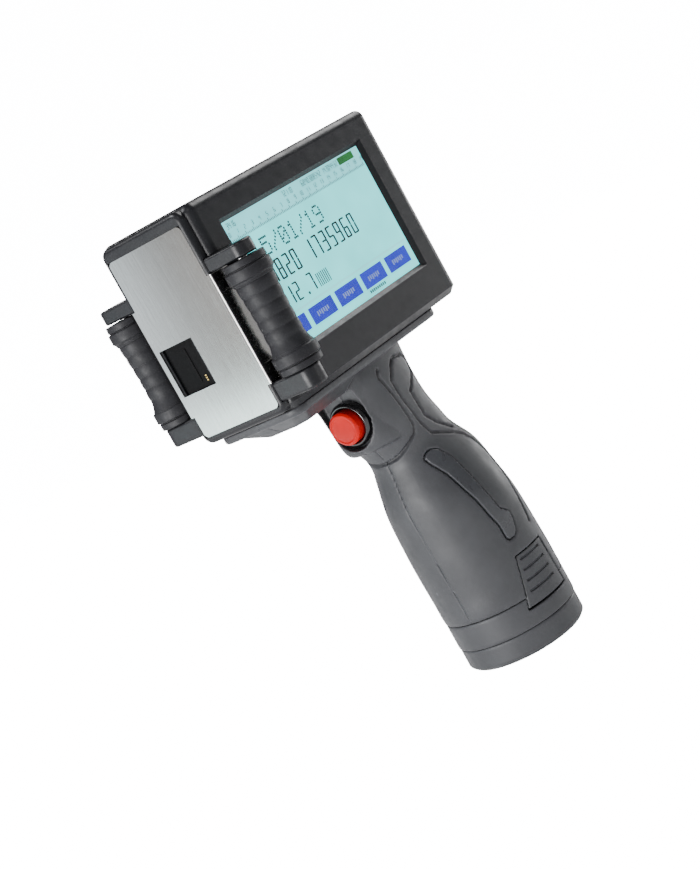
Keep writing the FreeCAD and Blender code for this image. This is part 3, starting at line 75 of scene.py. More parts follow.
class Finish:
    """One node material: a principled shader, and short ways to add what feeds it."""

    def __init__(self, name, colour, rough, metallic=0.0, specular=0.5, coat=0.0):
        self.material = bpy.data.materials.new(name)
        self.material.use_nodes = True
        self.tree = self.material.node_tree
        self.shader = self.tree.nodes["Principled BSDF"]
        self.set("Base Color", (*colour, 1))
        self.set("Roughness", rough)
        self.set("Metallic", metallic)
        self.set("Specular IOR Level", specular)
        self.set("Coat Weight", coat)
        self.height = None

    def set(self, socket, value):
        self.shader.inputs[socket].default_value = value

    def node(self, kind, **settings):
        made = self.tree.nodes.new(kind)
        for key, value in settings.items():
            setattr(made, key, value)
        return made

    def link(self, start, end):
        self.tree.links.new(start, end)

    def place(self, stretch=(1, 1, 1)):
        """Object coordinates, squeezed along some axes to draw a pattern out along the others."""
        coordinates = self.node("ShaderNodeTexCoord")
        mapping = self.node("ShaderNodeMapping")
        mapping.inputs["Scale"].default_value = stretch
        self.link(coordinates.outputs["Object"], mapping.inputs["Vector"])
        return mapping.outputs["Vector"]

    def noise(self, size, detail=2.0, stretch=(1, 1, 1)):
        """Noise whose features are about this size in millimetres."""
        noise = self.node("ShaderNodeTexNoise")
        noise.inputs["Scale"].default_value = 1 / (size * MM)
        noise.inputs["Detail"].default_value = detail
        self.link(self.place(stretch), noise.inputs["Vector"])
        return noise.outputs["Fac"]

    def cells(self, size):
        """Distance from the middle of grains of this size in millimetres."""
        cells = self.node("ShaderNodeTexVoronoi")
        cells.inputs["Scale"].default_value = 1 / (size * MM)
        self.link(self.place(), cells.inputs["Vector"])
        return cells.outputs["Distance"]

    def spread(self, value, low, high, start=0.3, end=0.7):
        """A value mapped onto another range."""
        spread = self.node("ShaderNodeMapRange")
        ends = {"From Min": start, "From Max": end, "To Min": low, "To Max": high}
        for socket, number in ends.items():
            spread.inputs[socket].default_value = number
        self.link(value, spread.inputs["Value"])
        return spread.outputs["Result"]

    def two_tone(self, value, first, second, start=0.3, end=0.7):
        """Base colour that runs from one tone to another as a value rises."""
        ramp = self.node("ShaderNodeValToRGB")
        ramp.color_ramp.elements[0].position = start
        ramp.color_ramp.elements[0].color = (*first, 1)
        ramp.color_ramp.elements[1].position = end
        ramp.color_ramp.elements[1].color = (*second, 1)
        self.link(value, ramp.inputs["Fac"])
        self.link(ramp.outputs["Color"], self.shader.inputs["Base Color"])
        return ramp.outputs["Color"]

    def mix(self, share, first, tone):
        """A colour that turns into a fixed tone as a share goes from 0 to 1."""
        mix = self.node("ShaderNodeMix", data_type="RGBA")
        factor, start, end = (s for s in mix.inputs if s.enabled)
        self.link(share, factor)
        self.link(first, start)
        end.default_value = (*tone, 1)
        return next(s for s in mix.outputs if s.enabled)

    def worn(self, colour, edge, cavity):
        """Convex edges lightened with a painted sheen, and grooves darkened with painted shade."""
        shape = self.node("ShaderNodeNewGeometry").outputs["Pointiness"]
        # Painted highlight on convex edges, then painted shade in the grooves
        sheened_edges = self.mix(self.spread(shape, 0.0, 1.0, *SHEEN_EDGE), colour, edge)
        shaded_grooves = self.mix(self.spread(shape, 1.0, 0.0, *DEEP_GROOVE), sheened_edges, cavity)
        self.link(shaded_grooves, self.shader.inputs["Base Color"])

    def rough(self, value, low, high):
        """Roughness that follows a value between two limits."""
        self.link(self.spread(value, low, high), self.shader.inputs["Roughness"])

    def bump(self, value, depth, strength=1.0):
        """A bump of this depth in millimetres, on top of any that is there already."""
        bump = self.node("ShaderNodeBump")
        bump.inputs["Strength"].default_value = strength
        bump.inputs["Distance"].default_value = depth * MM
        self.link(value, bump.inputs["Height"])
        if self.height is not None:
            self.link(self.height, bump.inputs["Normal"])
        self.height = bump.outputs["Normal"]
        self.link(self.height, self.shader.inputs["Normal"])


# Where the curvature reading of a surface starts and ends as an edge with a painted sheen, and as a groove with
# painted shade: 0.5 is flat
SHEEN_EDGE = (0.515, 0.6)
DEEP_GROOVE = (0.42, 0.488)
GROOVE_SHADE = 0.25
# A scratch runs on about eighty times as far as it is wide
SCRATCH_STRETCH = 0.012


def tones(colour, low, high):
    """A colour made darker and lighter by two factors."""
    return [tuple(channel * factor for channel in colour) for factor in (low, high)]


def moulded(name, colour, rough, grain=0.35, depth=0.02, specular=0.5, shade=(0.88, 1.12), edge=None):
    """Plastic with the fine spark-eroded grain of its mould, uneven in tone over a few centimetres."""
    finish = Finish(name, colour, rough, specular=specular)
    cloud = finish.noise(16, 4.0)
    tint = finish.two_tone(cloud, *tones(colour, *shade))
    # The edge factor paints a sheen on convex edges and shade in the grooves
    if edge:
        finish.worn(tint, *tones(colour, edge, GROOVE_SHADE))
    finish.rough(finish.noise(5, 6.0), rough - 0.06, rough + 0.08)
    finish.bump(finish.cells(grain), depth, 0.55)
    finish.bump(finish.noise(grain * 3, 3.0), depth, 0.4)
    return finish


def rubber(name, colour, rough):
    """Soft moulded rubber: matt, a little uneven, with hardly any grain."""
    finish = Finish(name, colour, rough, specular=0.35)
    finish.two_tone(finish.noise(3.5, 2.0), *tones(colour, 0.85, 1.2))
    finish.rough(finish.noise(2.2, 2.0), rough - 0.05, rough + 0.07)
    finish.bump(finish.noise(0.3, 2.0), 0.004, 0.3)
    return finish


def brushed(name, colour, rough, along, fine, depth, shade=(0.9, 1.08)):
    """Sheet metal brushed along one axis, with scratches of this width and depth in millimetres."""
    stretch = tuple(SCRATCH_STRETCH if axis == along else 1.0 for axis in "xyz")
    finish = Finish(name, colour, rough, metallic=1.0)
    scratches = finish.noise(fine, 4.0, stretch)
    finish.two_tone(finish.noise(fine * 2.6, 5.0, stretch), *tones(colour, *shade))
    finish.rough(scratches, rough - 0.04, rough + 0.06)
    finish.bump(scratches, depth, 0.5)
    return finish


def turned_metal(name, colour, rough):
    """Machined or plated metal with faint mottling."""
    finish = Finish(name, colour, rough, metallic=1.0)
    finish.two_tone(finish.noise(2.0, 5.0), *tones(colour, 0.85, 1.1))
    finish.rough(finish.noise(0.8, 4.0), rough - 0.08, rough + 0.12)
    finish.bump(finish.noise(0.3, 3.0), 0.006, 0.4)
    return finish


def gloss(name, colour, rough, coat=0.6, specular=0.5):
    """Polished plastic with the faint ripple that a moulded gloss face has."""
    finish = Finish(name, colour, rough, specular=specular, coat=coat)
    finish.set("Coat Roughness", 0.06)
    finish.two_tone(finish.noise(6, 3.0), *tones(colour, 0.92, 1.08))
    finish.rough(finish.noise(2.5, 5.0), rough - 0.04, rough + 0.06)
    finish.bump(finish.noise(4.0, 2.0), 0.02, 0.3)
    return finish


def lit(name, colour, strength, dim=0.86, size=22):
    """A backlit area, a little uneven as the light pipe behind it is."""
    finish = Finish(name, colour, 0.5, specular=0.0)
    glow = finish.node("ShaderNodeValToRGB")
    dark, bright = tones(colour, dim, 1.0)
    glow.color_ramp.elements[0].position = 0.32
    glow.color_ramp.elements[0].color = (*dark, 1)
    glow.color_ramp.elements[1].position = 0.62
    glow.color_ramp.elements[1].color = (*bright, 1)
    finish.link(finish.noise(size, 2.0), glow.inputs["Fac"])
    finish.link(glow.outputs["Color"], finish.shader.inputs["Emission Color"])
    finish.set("Base Color", (0.02, 0.02, 0.02, 1))
    finish.set("Emission Strength", strength)
    return finish


def clear(name, tint, rough=0.03):
    """Clear glass with faint smears."""
    finish = Finish(name, tint, rough)
    finish.set("Transmission Weight", 1.0)
    finish.set("IOR", 1.46)
    finish.rough(finish.noise(9, 4.0), rough, rough + 0.03)
    return finish


def solder_mask(name):
    """Green circuit board lacquer, raised where tracks run under it."""
    finish = gloss(name, (0.012, 0.11, 0.045), 0.3, 0.3)
    tracks = finish.noise(1.1, 0.0, (1, 0.15, 1))
    finish.bump(finish.spread(tracks, 0, 1, 0.48, 0.52), 0.03, 0.8)
    return finish


def wrapped_cell(name):
    """The shrunk plastic wrap of a battery cell."""
    finish = gloss(name, (0.03, 0.12, 0.42), 0.22, 0.5)
    finish.bump(finish.noise(2.4, 3.0, (1, 1, 0.2)), 0.05, 0.6)
    return finish


FINISHES = {
    "black_casing": moulded("black_casing", (0.0075, 0.0078, 0.0105), 0.36, 0.3, 0.014, 0.4),
    # edge= sets a painted sheen on convex edges, with painted shade in the grooves
    "grey_handle": moulded("grey_handle", (0.049, 0.0505, 0.056), 0.45, 0.32, 0.016, 0.5, edge=1.9),
    "grey_plastic": moulded("grey_plastic", (0.12, 0.12, 0.125), 0.48),
    "gloss_black": gloss("gloss_black", (0.006, 0.006, 0.007), 0.14),
    "white_plastic": moulded("white_plastic", (0.7, 0.7, 0.67), 0.4),
    "cartridge_plastic": moulded("cartridge_plastic", (0.004, 0.004, 0.0045), 0.5, specular=0.08),
    "red_button": gloss("red_button", (0.62, 0.003, 0.0005), 0.36, 0.06, 0.2),
    "inlay_rubber": moulded("inlay_rubber", (0.052, 0.054, 0.061), 0.3, 0.3, 0.008, 0.55, edge=1.8),
    "black_rubber": rubber("black_rubber", (0.0125, 0.0125, 0.0155), 0.5),
    "stainless": brushed("stainless", (0.42, 0.412, 0.4), 0.13, "z", 0.07, 0.0007),
    "dark_steel": turned_metal("dark_steel", (0.1, 0.1, 0.105), 0.4),
    "brass": turned_metal("brass", (0.72, 0.5, 0.2), 0.28),
    "magnet": turned_metal("magnet", (0.14, 0.14, 0.15), 0.55),
    "circuit": solder_mask("circuit"),
    "chip": moulded("chip", (0.018, 0.018, 0.018), 0.55, 0.15),
    "screen": lit("screen", (0.17, 0.88, 0.9), 2.0),
    "touch_glass": clear("touch_glass", (0.95, 0.99, 0.98)),
    "lamp": lit("lamp", (0.1, 0.75, 0.12), 0.8, 0.7, 1.0),
    "cell_wrap": wrapped_cell("cell_wrap"),
    "lead_jacket": rubber("lead_jacket", (0.45, 0.03, 0.02), 0.4),
}
PLATED = {"roller_axle_right", "roller_axle_left", "door_hinge_pin", "coin_cell", "button_nut", "button_spring"}


def dress_nodes():
    """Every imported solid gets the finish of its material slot."""
    plated = turned_metal("plated_steel", (0.55, 0.55, 0.54), 0.24).material
    for part in frame["record"]["subparts"]:
        name = part["node"]
        finish = plated if name in PLATED else FINISHES[part["material_slot"]].material
        set_material(frame["nodes"][name], finish)


def set_material(piece, material):
    piece.data.materials.clear()
    piece.data.materials.append(material)


# ---------------------------------------------------------------- mesh kit

TINY = 1e-6
# How much of a profile's edge the rounding of one of its corners may take up
CORNER_SHARE = 0.48


def finish_piece(name, mesh, slot, body, material=None, smooth=True, stands_for=()):
    """A mesh as a piece of the model, with its finish, its body and what it stands for."""
    material = material or FINISHES[slot].material
    mesh.materials.clear()
    mesh.materials.append(material)
    mesh.polygons.foreach_set("use_smooth", [smooth] * len(mesh.polygons))
    piece = bpy.data.objects.new(name, mesh)
    bpy.context.scene.collection.objects.link(piece)
    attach(piece, body)
    if stands_for:
        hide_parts(*stands_for)
    return piece


def mesh_from(work, name):
    mesh = bpy.data.meshes.new(name)
    bmesh.ops.recalc_face_normals(work, faces=work.faces[:])
    work.to_mesh(mesh)
    work.free()
    return mesh


def lathe(work, profile, place, steps=96, turn=None):
    """A closed outline of (radius, height) in millimetres, turned about the local Z axis."""
    turn = turn or Matrix.Identity(3)
    rings = []
    for radius, height in profile:
        if radius < TINY:
            rings.append([work.verts.new(turn @ Vector((0, 0, height)) * MM + Vector(place) * MM)])
            continue
        ring = []
        for step in range(steps):
            angle = math.tau * step / steps
            point = Vector((radius * math.cos(angle), radius * math.sin(angle), height))
            ring.append(work.verts.new((turn @ point + Vector(place)) * MM))
        rings.append(ring)
    pairs = list(zip(rings, rings[1:]))
    if profile[0][0] > TINY:
        pairs.append((rings[-1], rings[0]))
    for low, high in pairs:
        for step in range(steps):
            after = (step + 1) % steps
            corners = []
            for vertex in (low[step % len(low)], low[after % len(low)], high[after % len(high)],
                           high[step % len(high)]):
                if vertex not in corners:
                    corners.append(vertex)
            if len(corners) > 2:
                work.faces.new(corners)


def rounded(profile, steps=5):
    """A closed outline with its listed corners rounded: each point is (r, h) or (r, h, corner radius)."""
    result = []
    count = len(profile)
    for index, point in enumerate(profile):
        corner = Vector(point[:2])
        size = point[2] if len(point) > 2 else 0
        before = Vector(profile[index - 1][:2]) - corner
        after = Vector(profile[(index + 1) % count][:2]) - corner
        if size <= 0 or corner.x < TINY or before.length < TINY or after.length < TINY:
            result.append(tuple(corner))
            continue
        half = before.angle(after) / 2
        reach = min(size / math.tan(half), before.length * CORNER_SHARE, after.length * CORNER_SHARE)
        start = corner + before.normalized() * reach
        end = corner + after.normalized() * reach
        for step in range(steps + 1):
            share = step / steps
            first = start.lerp(corner, share)
            second = corner.lerp(end, share)
            result.append(tuple(first.lerp(second, share)))
    return result


# Turns the lathe's axis from +Z to -Y, so that heights run towards the front
FACING_FRONT = Matrix(((1, 0, 0), (0, 0, -1), (0, 1, 0)))


def slab(work, corners, normal, thick):
    """A thin flat plate over a polygon, standing out along its normal."""
    low = [work.verts.new(Vector(corner)) for corner in corners]
    high = [work.verts.new(Vector(corner) + Vector(normal) * thick) for corner in corners]
    work.faces.new(low)
    work.faces.new(high)
    for index in range(len(corners)):
        after = (index + 1) % len(corners)
        work.faces.new((low[index], low[after], high[after], high[index]))


# ---------------------------------------------------------------- handle and front

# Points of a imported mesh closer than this, in millimetres, become one
WELD = 0.001
# Voxel size in millimetres and number of smoothing passes for each kind of moulded part
HALF_DETAIL = (0.5, 2)
INLAY_DETAIL = (0.25, 3)
TAB_DETAIL = (0.2, 2)
BASE_DETAIL = (0.45, 2)
# The soft inlays stand this much proud of their beds
INLAY_LIFT = 0.2


def softened(name, node, slot, voxel, passes):
    """A copy of a moulded part, remeshed so that its ribs, lips and edges run into each other."""
    source = frame["nodes"][node]
    work = bmesh.new()
    work.from_mesh(source.data)
    bmesh.ops.remove_doubles(work, verts=work.verts[:], dist=WELD * MM)
    piece = finish_piece(name, mesh_from(work, name), slot, source["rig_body"], stands_for=(node,))
    remesh = piece.modifiers.new("remesh", "REMESH")
    remesh.mode = "VOXEL"
    remesh.voxel_size = voxel * MM
    remesh.use_smooth_shade = True
    soften = piece.modifiers.new("soften", "SMOOTH")
    soften.factor = 0.5
    soften.iterations = passes
    return bake_modifiers(piece)


def bake_modifiers(piece):
    """The piece keeps the mesh that its modifiers make, and none of the modifiers."""
    graph = bpy.context.evaluated_depsgraph_get()
    made = bpy.data.meshes.new_from_object(piece.evaluated_get(graph))
    made.name = piece.data.name
    piece.modifiers.clear()
    piece.data = made
    made.polygons.foreach_set("use_smooth", [True] * len(made.polygons))
    return piece


def add_handle():
    """The two handle halves with their inlays, and the battery's band, base and latch tabs."""
    for side in SIDES:
        softened("handle_half_" + side, "handle_shell_" + side, "grey_handle", *HALF_DETAIL)
        inlay = softened("inlay_" + side, "grip_inlay_" + side, "inlay_rubber", *INLAY_DETAIL)
        inlay.data.transform(Matrix.Translation((SIDES[side] * INLAY_LIFT * MM, 0, 0)))
        softened("latch_tab_" + side, "battery_latch_" + side, "grey_handle", *TAB_DETAIL)
    softened("battery_band", "battery_case", "grey_handle", *BASE_DETAIL)
    softened("battery_base", "battery_foot", "grey_handle", *BASE_DETAIL)


# Outlines of the red cap with its stem and of the ring with its barrel: radius, reach towards the front from the
# handle's middle, and corner radius
RED_CAP = [(0, 37.83), (5.3, 37.95, 1.0), (5.6, 38.18, 0.15), (6.15, 38.18, 0.4), (6.9, 37.33, 0.5),
           (6.9, 30.83, 0.3), (3.0, 30.83, 0.2), (3.0, 19.83, 0.2), (0, 19.83)]
BUTTON_RING = [(7.2, 33.2, 0.3), (7.75, 34.4, 0.35), (8.5, 34.4, 0.6), (9.4, 33.1, 0.9), (9.4, 30.2, 0.1),
               (7.9, 30.2, 0.1), (7.9, 18.0, 0.2), (7.2, 18.0, 0.2)]


def add_button():
    """The round push button: red cap, gloss ring, both turned about a line along Y."""
    centre = (0, 0, BUTTON_Z)
    work = bmesh.new()
    lathe(work, rounded(RED_CAP), centre, turn=FACING_FRONT)
    finish_piece("red_cap", mesh_from(work, "red_cap"), "red_button", "trigger", stands_for=("button_cap",))
    work = bmesh.new()
    lathe(work, rounded(BUTTON_RING), centre, turn=FACING_FRONT)
    finish_piece("button_ring", mesh_from(work, "button_ring"), "gloss_black", "printer",
                 stands_for=("button_bezel",))


# The nozzles stand in two rows, at shares of the face's width, over most of its height
NOZZLE_ROWS = (0.42, 0.58)
NOZZLES, NOZZLE_START, NOZZLE_RUN = 30, 0.08, 0.84
NOZZLE_RADIUS, NOZZLE_LIFT, NOZZLE_SIDES = 0.06, 0.02, 8
# The gilt pads: how many, width and height, step from one to the next, and the first one's place past the face
PADS, PAD_WIDTH, PAD_HEIGHT, PAD_THICK = 3, 0.7, 0.5, 0.3
PAD_STEP, PAD_ASIDE, PAD_DROP = 0.9, 2.6, 0.4


def add_nozzle_face():
    """The cartridge's black printing face with its rows of nozzles, and gilt pads at its lower corner."""
    low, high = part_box("nozzle_plate")
    work = bmesh.new()
    face = [(low.x, low.y, low.z), (high.x, low.y, low.z), (high.x, low.y, high.z), (low.x, low.y, high.z)]
    slab(work, face, (0, 1, 0), high.y - low.y)
    front = low.y - NOZZLE_LIFT * MM
    for row in NOZZLE_ROWS:
        x = low.x + row * (high.x - low.x)
        for number in range(NOZZLES):
            share = NOZZLE_START + NOZZLE_RUN * number / (NOZZLES - 1)
            z = low.z + share * (high.z - low.z)
            ring = []
            for step in range(NOZZLE_SIDES):
                angle = math.tau * step / NOZZLE_SIDES
                aside = NOZZLE_RADIUS * MM * math.cos(angle)
                up = NOZZLE_RADIUS * MM * math.sin(angle)
                ring.append((x + aside, front, z + up))
            slab(work, ring, (0, 1, 0), 2 * NOZZLE_LIFT * MM)
    finish_piece("nozzle_face", mesh_from(work, "nozzle_face"), "cartridge_plastic", "cartridge", smooth=False,
                 stands_for=("nozzle_plate",))
    work = bmesh.new()
    x0 = high.x + PAD_ASIDE * MM
    x1 = x0 + PAD_WIDTH * MM
    for number in range(PADS):
        z0 = low.z - PAD_DROP * MM + number * PAD_STEP * MM
        z1 = z0 + PAD_HEIGHT * MM
        pad = [(x0, low.y, z0), (x1, low.y, z0), (x1, low.y, z1), (x0, low.y, z1)]
        slab(work, pad, (0, 1, 0), PAD_THICK * MM)
    finish_piece("contact_pads", mesh_from(work, "contact_pads"), "brass", "cartridge", smooth=False)


# ---------------------------------------------------------------- rollers

# The creases between the sleeve's bands: how far below its top end, and at what radius
SLEEVE_CREASES = [(1.0, 7.65), (5.7, 7.3), (10.4, 7.02), (15.1, 6.88), (19.8, 6.9), (24.3, 7.1)]
# How far each band swells out, how far the last one flares, and the height of the lip that closes it
SLEEVE_SWELL, SLEEVE_FLARE, SLEEVE_LIP = 0.24, 1.0, 0.5
BORE = 5.2
BAND_STEPS, FLARE_STEPS, ROLLER_STEPS = 9, 10, 72
SLEEVE_CREASE_ANGLE, RING_CREASE_ANGLE = 16, 30

# A stepped end ring, from the roller's end inwards: radius, height and corner radius
END_RING = [(BORE, 0.0, 0.1), (8.5, 0.0, 0.35), (8.6, 2.4, 0.3), (8.2, 2.7, 0.05), (8.2, 2.9, 0.05),
            (9.1, 3.2, 0.4), (9.1, 7.0, 0.5), (8.4, 7.5, 0.2), (8.3, 8.1, 0.1), (BORE, 8.1, 0.1)]


def sleeve_profile():
    """Outline of the sleeve from its top end down: five barrel bands between flared ends."""
    length = SLEEVE_TOP - SLEEVE_FLOOR
    outline = [(BORE, 0.0), (8.1, 0.0), (8.15, 0.35), (8.0, 0.8), (7.72, 0.95)]
    for (start, first), (end, second) in zip(SLEEVE_CREASES, SLEEVE_CREASES[1:]):
        for step in range(BAND_STEPS):
            share = step / BAND_STEPS
            rise = SLEEVE_SWELL * (1 - (2 * share - 1) ** 2) ** 0.8
            outline.append((first + (second - first) * share + rise, start + (end - start) * share))
    end, radius = SLEEVE_CREASES[-1]
    for step in range(FLARE_STEPS + 1):
        share = step / FLARE_STEPS
        outline.append((radius + SLEEVE_FLARE * share ** 1.6, end + (length - SLEEVE_LIP - end) * share))
    return outline + [(8.15, length - 0.1), (8.1, length), (BORE, length)]


def add_roller(side):
    """A rubber sleeve of barrel bands between two stepped end rings, all turned about the roller's axle."""
    place = (SIDES[side] * ROLLER_X, ROLLER_Y, 0)
    body = "roller_%s_body" % side
    work = bmesh.new()
    outline = [(radius, SLEEVE_TOP - drop) for radius, drop in sleeve_profile()]
    lathe(work, outline, place, ROLLER_STEPS)
    mesh = mesh_from(work, "roller_grip_" + side)
    finish_piece("roller_grip_" + side, mesh, "black_rubber", body, stands_for=("roller_sleeve_" + side,))
    shade_by_angle(mesh, SLEEVE_CREASE_ANGLE)
    work = bmesh.new()
    for end, way in ((ROLLER_FLOOR, 1), (ROLLER_TOP, -1)):
        ring = [(radius, end + way * height) for radius, height in rounded(END_RING)]
        lathe(work, ring, place, ROLLER_STEPS)
    mesh = mesh_from(work, "roller_ends_" + side)
    finish_piece("roller_ends_" + side, mesh, "black_rubber", body, stands_for=("roller_rings_" + side,))
    shade_by_angle(mesh, RING_CREASE_ANGLE)


def shade_by_angle(mesh, degrees):
    """Smooth shading, except across edges that turn by more than this."""
    mesh.polygons.foreach_set("use_smooth", [True] * len(mesh.polygons))
    mesh.set_sharp_from_angle(angle=math.radians(degrees))


# ---------------------------------------------------------------- what the screen shows

# The lit area's edges in millimetres
SCREEN = {"front": -68.8, "rear": 26.55, "floor": 156.95, "top": 210.96}

# How far each layer of the picture stands in front of the panel, and how thick it is
LAYER_LIFT = {"band": 0.0, "key": 0.01, "ink": 0.02, "pale": 0.03, "green": 0.02}
LAYER_THICK = 0.03
PANEL_GAP = 0.02
DOT_SIDES = 8


class Display:
    """Draws thin shapes on the display. Places are shares of its width and height from the top front corner."""

    def __init__(self):
        self.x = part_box("lcd_panel")[1].x / MM + PANEL_GAP
        self.width = SCREEN["rear"] - SCREEN["front"]
        self.height = SCREEN["top"] - SCREEN["floor"]
        self.work = {}

    def bar(self, layer, left, top, width, height):
        y0 = SCREEN["front"] + left * self.width
        y1 = y0 + width * self.width
        z1 = SCREEN["top"] - top * self.height
        z0 = z1 - height * self.height
        self.shape(layer, [(y0, z0), (y1, z0), (y1, z1), (y0, z1)])

    def disc(self, layer, left, top, radius):
        y = SCREEN["front"] + left * self.width
        z = SCREEN["top"] - top * self.height
        angles = [math.tau * step / DOT_SIDES for step in range(DOT_SIDES)]
        self.shape(layer, [(y + radius * math.cos(angle), z + radius * math.sin(angle)) for angle in angles])

    def shape(self, layer, corners):
        work = self.work.setdefault(layer, bmesh.new())
        points = [Vector((self.x + LAYER_LIFT[layer], y, z)) * MM for y, z in corners]
        slab(work, points, (1, 0, 0), LAYER_THICK * MM)

    def pieces(self):
        """Every layer as one piece in its own colour."""
        looks = {"band": lit("screen_band", (0.24, 0.85, 0.9), 1.75),
                 "key": lit("screen_key", (0.025, 0.045, 0.85), 1.0, 0.8, 9),
                 "ink": Finish("screen_ink", (0.012, 0.025, 0.03), 0.6, specular=0.1),
                 "pale": lit("screen_pale", (0.35, 0.5, 1.0), 0.9),
                 "green": lit("screen_green", (0.01, 0.24, 0.04), 0.9, 0.7, 5)}
        for layer, work in self.work.items():
            name = "display_" + layer
            finish_piece(name, mesh_from(work, name), "screen", "printer", looks[layer].material, smooth=False)


# The date line's signs in dots, row by row from the top
DOTS = {
    "0": "01110 10001 10011 10101 11001 10001 01110",
    "1": "00100 01100 00100 00100 00100 00100 01110",
    "5": "11111 10000 11110 00001 00001 10001 01110",
    "9": "01110 10001 10001 01111 00001 00001 01110",
    "/": "00001 00001 00010 00100 01000 10000 10000",
}
# Strokes of a seven-bar digit: left, top, width and height in shares of the digit
BARS = {"a": (0.1, 0, 0.8, 0.08), "b": (0.72, 0.03, 0.26, 0.46), "c": (0.72, 0.51, 0.26, 0.46),
        "d": (0.1, 0.92, 0.8, 0.08), "e": (0.02, 0.51, 0.26, 0.46), "f": (0.02, 0.03, 0.26, 0.46),
        "g": (0.1, 0.46, 0.8, 0.08)}
LIT_BARS = {"0": "abcdef", "1": "bc", "2": "abged", "3": "abgcd", "4": "fgbc", "5": "afgcd", "6": "afgedc",
            "7": "abc", "8": "abcdefg", "9": "abcdfg"}

# A dotted sign is five dots wide with one of space, and its rows stand further apart than its columns
LETTER_PITCH, ROW_STRETCH = 6, 1.9


def dotted_line(display, text, left, top, pitch, radius):
    """A line of digits in dots."""
    for place, letter in enumerate(text):
        for row, line in enumerate(DOTS[letter].split()):
            for column, mark in enumerate(line):
                if mark == "1":
                    x = left + (place * LETTER_PITCH + column) * pitch
                    display.disc("ink", x, top + row * pitch * ROW_STRETCH, radius)


def barred_line(display, text, left, top, width, height, gap):
    """A line of digits in seven bars each."""
    for place, letter in enumerate(text):
        for bar in LIT_BARS.get(letter, ""):
            x, y, w, h = BARS[bar]
            start = left + place * (width + gap)
            display.bar("ink", start + x * width, top + y * height, w * width, h * height)


# The picture's parts, in shares of the display's width and height. Status and ruler digits: top, width, height and
# gap. The date: left, top, pitch of its dots, and their radius in millimetres. The other lines: left, top, width,
# height and gap of their digits
STATUS_GROUPS = ((0.03, 4), (0.42, 5), (0.56, 10), (0.72, 8))
STATUS_DIGITS = (0.018, 0.0115, 0.045, 0.0035)
RULER_FLOOR, RULER_LEFT, RULER_STEP = 0.155, 0.012, 0.0103
RULER_MARKS, MARKS_PER_DIGIT, MARK_WIDTH, TALL_MARK, SHORT_MARK = 96, 5, 0.0035, 0.03, 0.016
RULER_DIGITS = (0.082, 0.011, 0.034, 0.004)
DATE_LINE = (0.1, 0.225, 0.0105, 0.5)
CODE_LINE = (0.12, 0.395, 0.039, 0.155, 0.015)
LENGTH_LINE = (0.15, 0.6, 0.036, 0.135, 0.015)
STRIPES, STRIPE_LEFT, STRIPE_STEP = 7, 0.36, 0.0125
KEYS, KEY_LEFT, KEY_STEP, KEY_TOP, KEY_WIDTH, KEY_HEIGHT = 5, 0.02, 0.196, 0.815, 0.168, 0.125
CAPTION_MARKS, CAPTION_LEFT, CAPTION_STEP, CAPTION_TOP, CAPTION_WIDTH = 6, 0.042, 0.0145, 0.862, 0.0085
CAPTION_HEIGHTS = (0.038, 0.03)
FOOTER_MARKS, FOOTER_LEFT, FOOTER_STEP = 9, 0.62, 0.014


def add_display():
    """Status line, ruler, three lines of digits, five keys and a footer, as the picture's layers."""
    display = Display()
    display.bar("band", 0.0, 0.0, 1.0, RULER_FLOOR)
    display.bar("band", 0.0, 0.775, 1.0, 0.012)
    display.bar("green", 0.845, 0.012, 0.115, 0.055)
    draw_ruler(display)
    draw_status(display)
    dotted_line(display, "15/01/19", *DATE_LINE)
    barred_line(display, "4820 1735960", *CODE_LINE)
    barred_line(display, "12 7", *LENGTH_LINE)
    display.bar("ink", 0.272, 0.715, 0.012, 0.02)
    for stripe in range(STRIPES):
        display.bar("ink", STRIPE_LEFT + stripe * STRIPE_STEP, 0.635, 0.0055, 0.1)
    draw_keys(display)
    for mark in range(FOOTER_MARKS):
        display.bar("ink", FOOTER_LEFT + mark * FOOTER_STEP, 0.955, 0.009, 0.024)
    display.pieces()


def draw_ruler(display):
    top, width, height, gap = RULER_DIGITS
    for mark in range(RULER_MARKS):
        left = RULER_LEFT + mark * RULER_STEP
        numbered = mark % MARKS_PER_DIGIT == 0
        tall = TALL_MARK if numbered else SHORT_MARK
        display.bar("ink", left, RULER_FLOOR - tall, MARK_WIDTH, tall)
        if numbered:
            text = "%2d" % (mark // MARKS_PER_DIGIT)
            barred_line(display, text, left - 0.008, top, width, height, gap)


def draw_status(display):
    draw = random.Random(4)
    top, width, height, gap = STATUS_DIGITS
    for left, count in STATUS_GROUPS:
        text = "".join(str(draw.randrange(10)) for _ in range(count))
        barred_line(display, text, left, top, width, height, gap)


def draw_keys(display):
    for key in range(KEYS):
        left = KEY_LEFT + key * KEY_STEP
        display.bar("key", left, KEY_TOP, KEY_WIDTH, KEY_HEIGHT)
        for mark in range(CAPTION_MARKS):
            x = left + CAPTION_LEFT + mark * CAPTION_STEP
            display.bar("pale", x, CAPTION_TOP, CAPTION_WIDTH, CAPTION_HEIGHTS[mark % 2])


# ---------------------------------------------------------------- camera, lights and floor

# The camera stands in front of the screen side of the printing face, and is rolled as the photographer held it
EYE = Vector((497.8, -611.9, 221.7)) * MM
YAW, PITCH, ROLL = math.radians(40.83), math.radians(-8.03), math.radians(-29.04)
LENS, SENSOR_WIDTH, NEAR = 81.3, 36, 0.01

# How bright the sky and floor are to the camera, and as light on the object
SKY_SEEN, SKY_CAST = 16.0, 0.22
FLOOR_SEEN, FLOOR_CAST = 16.0, 0.4
FLOOR_REACH = 80.0
PALE = (0.98, 0.99, 1.0)
CENTRE = (0, -0.02, 0.13)


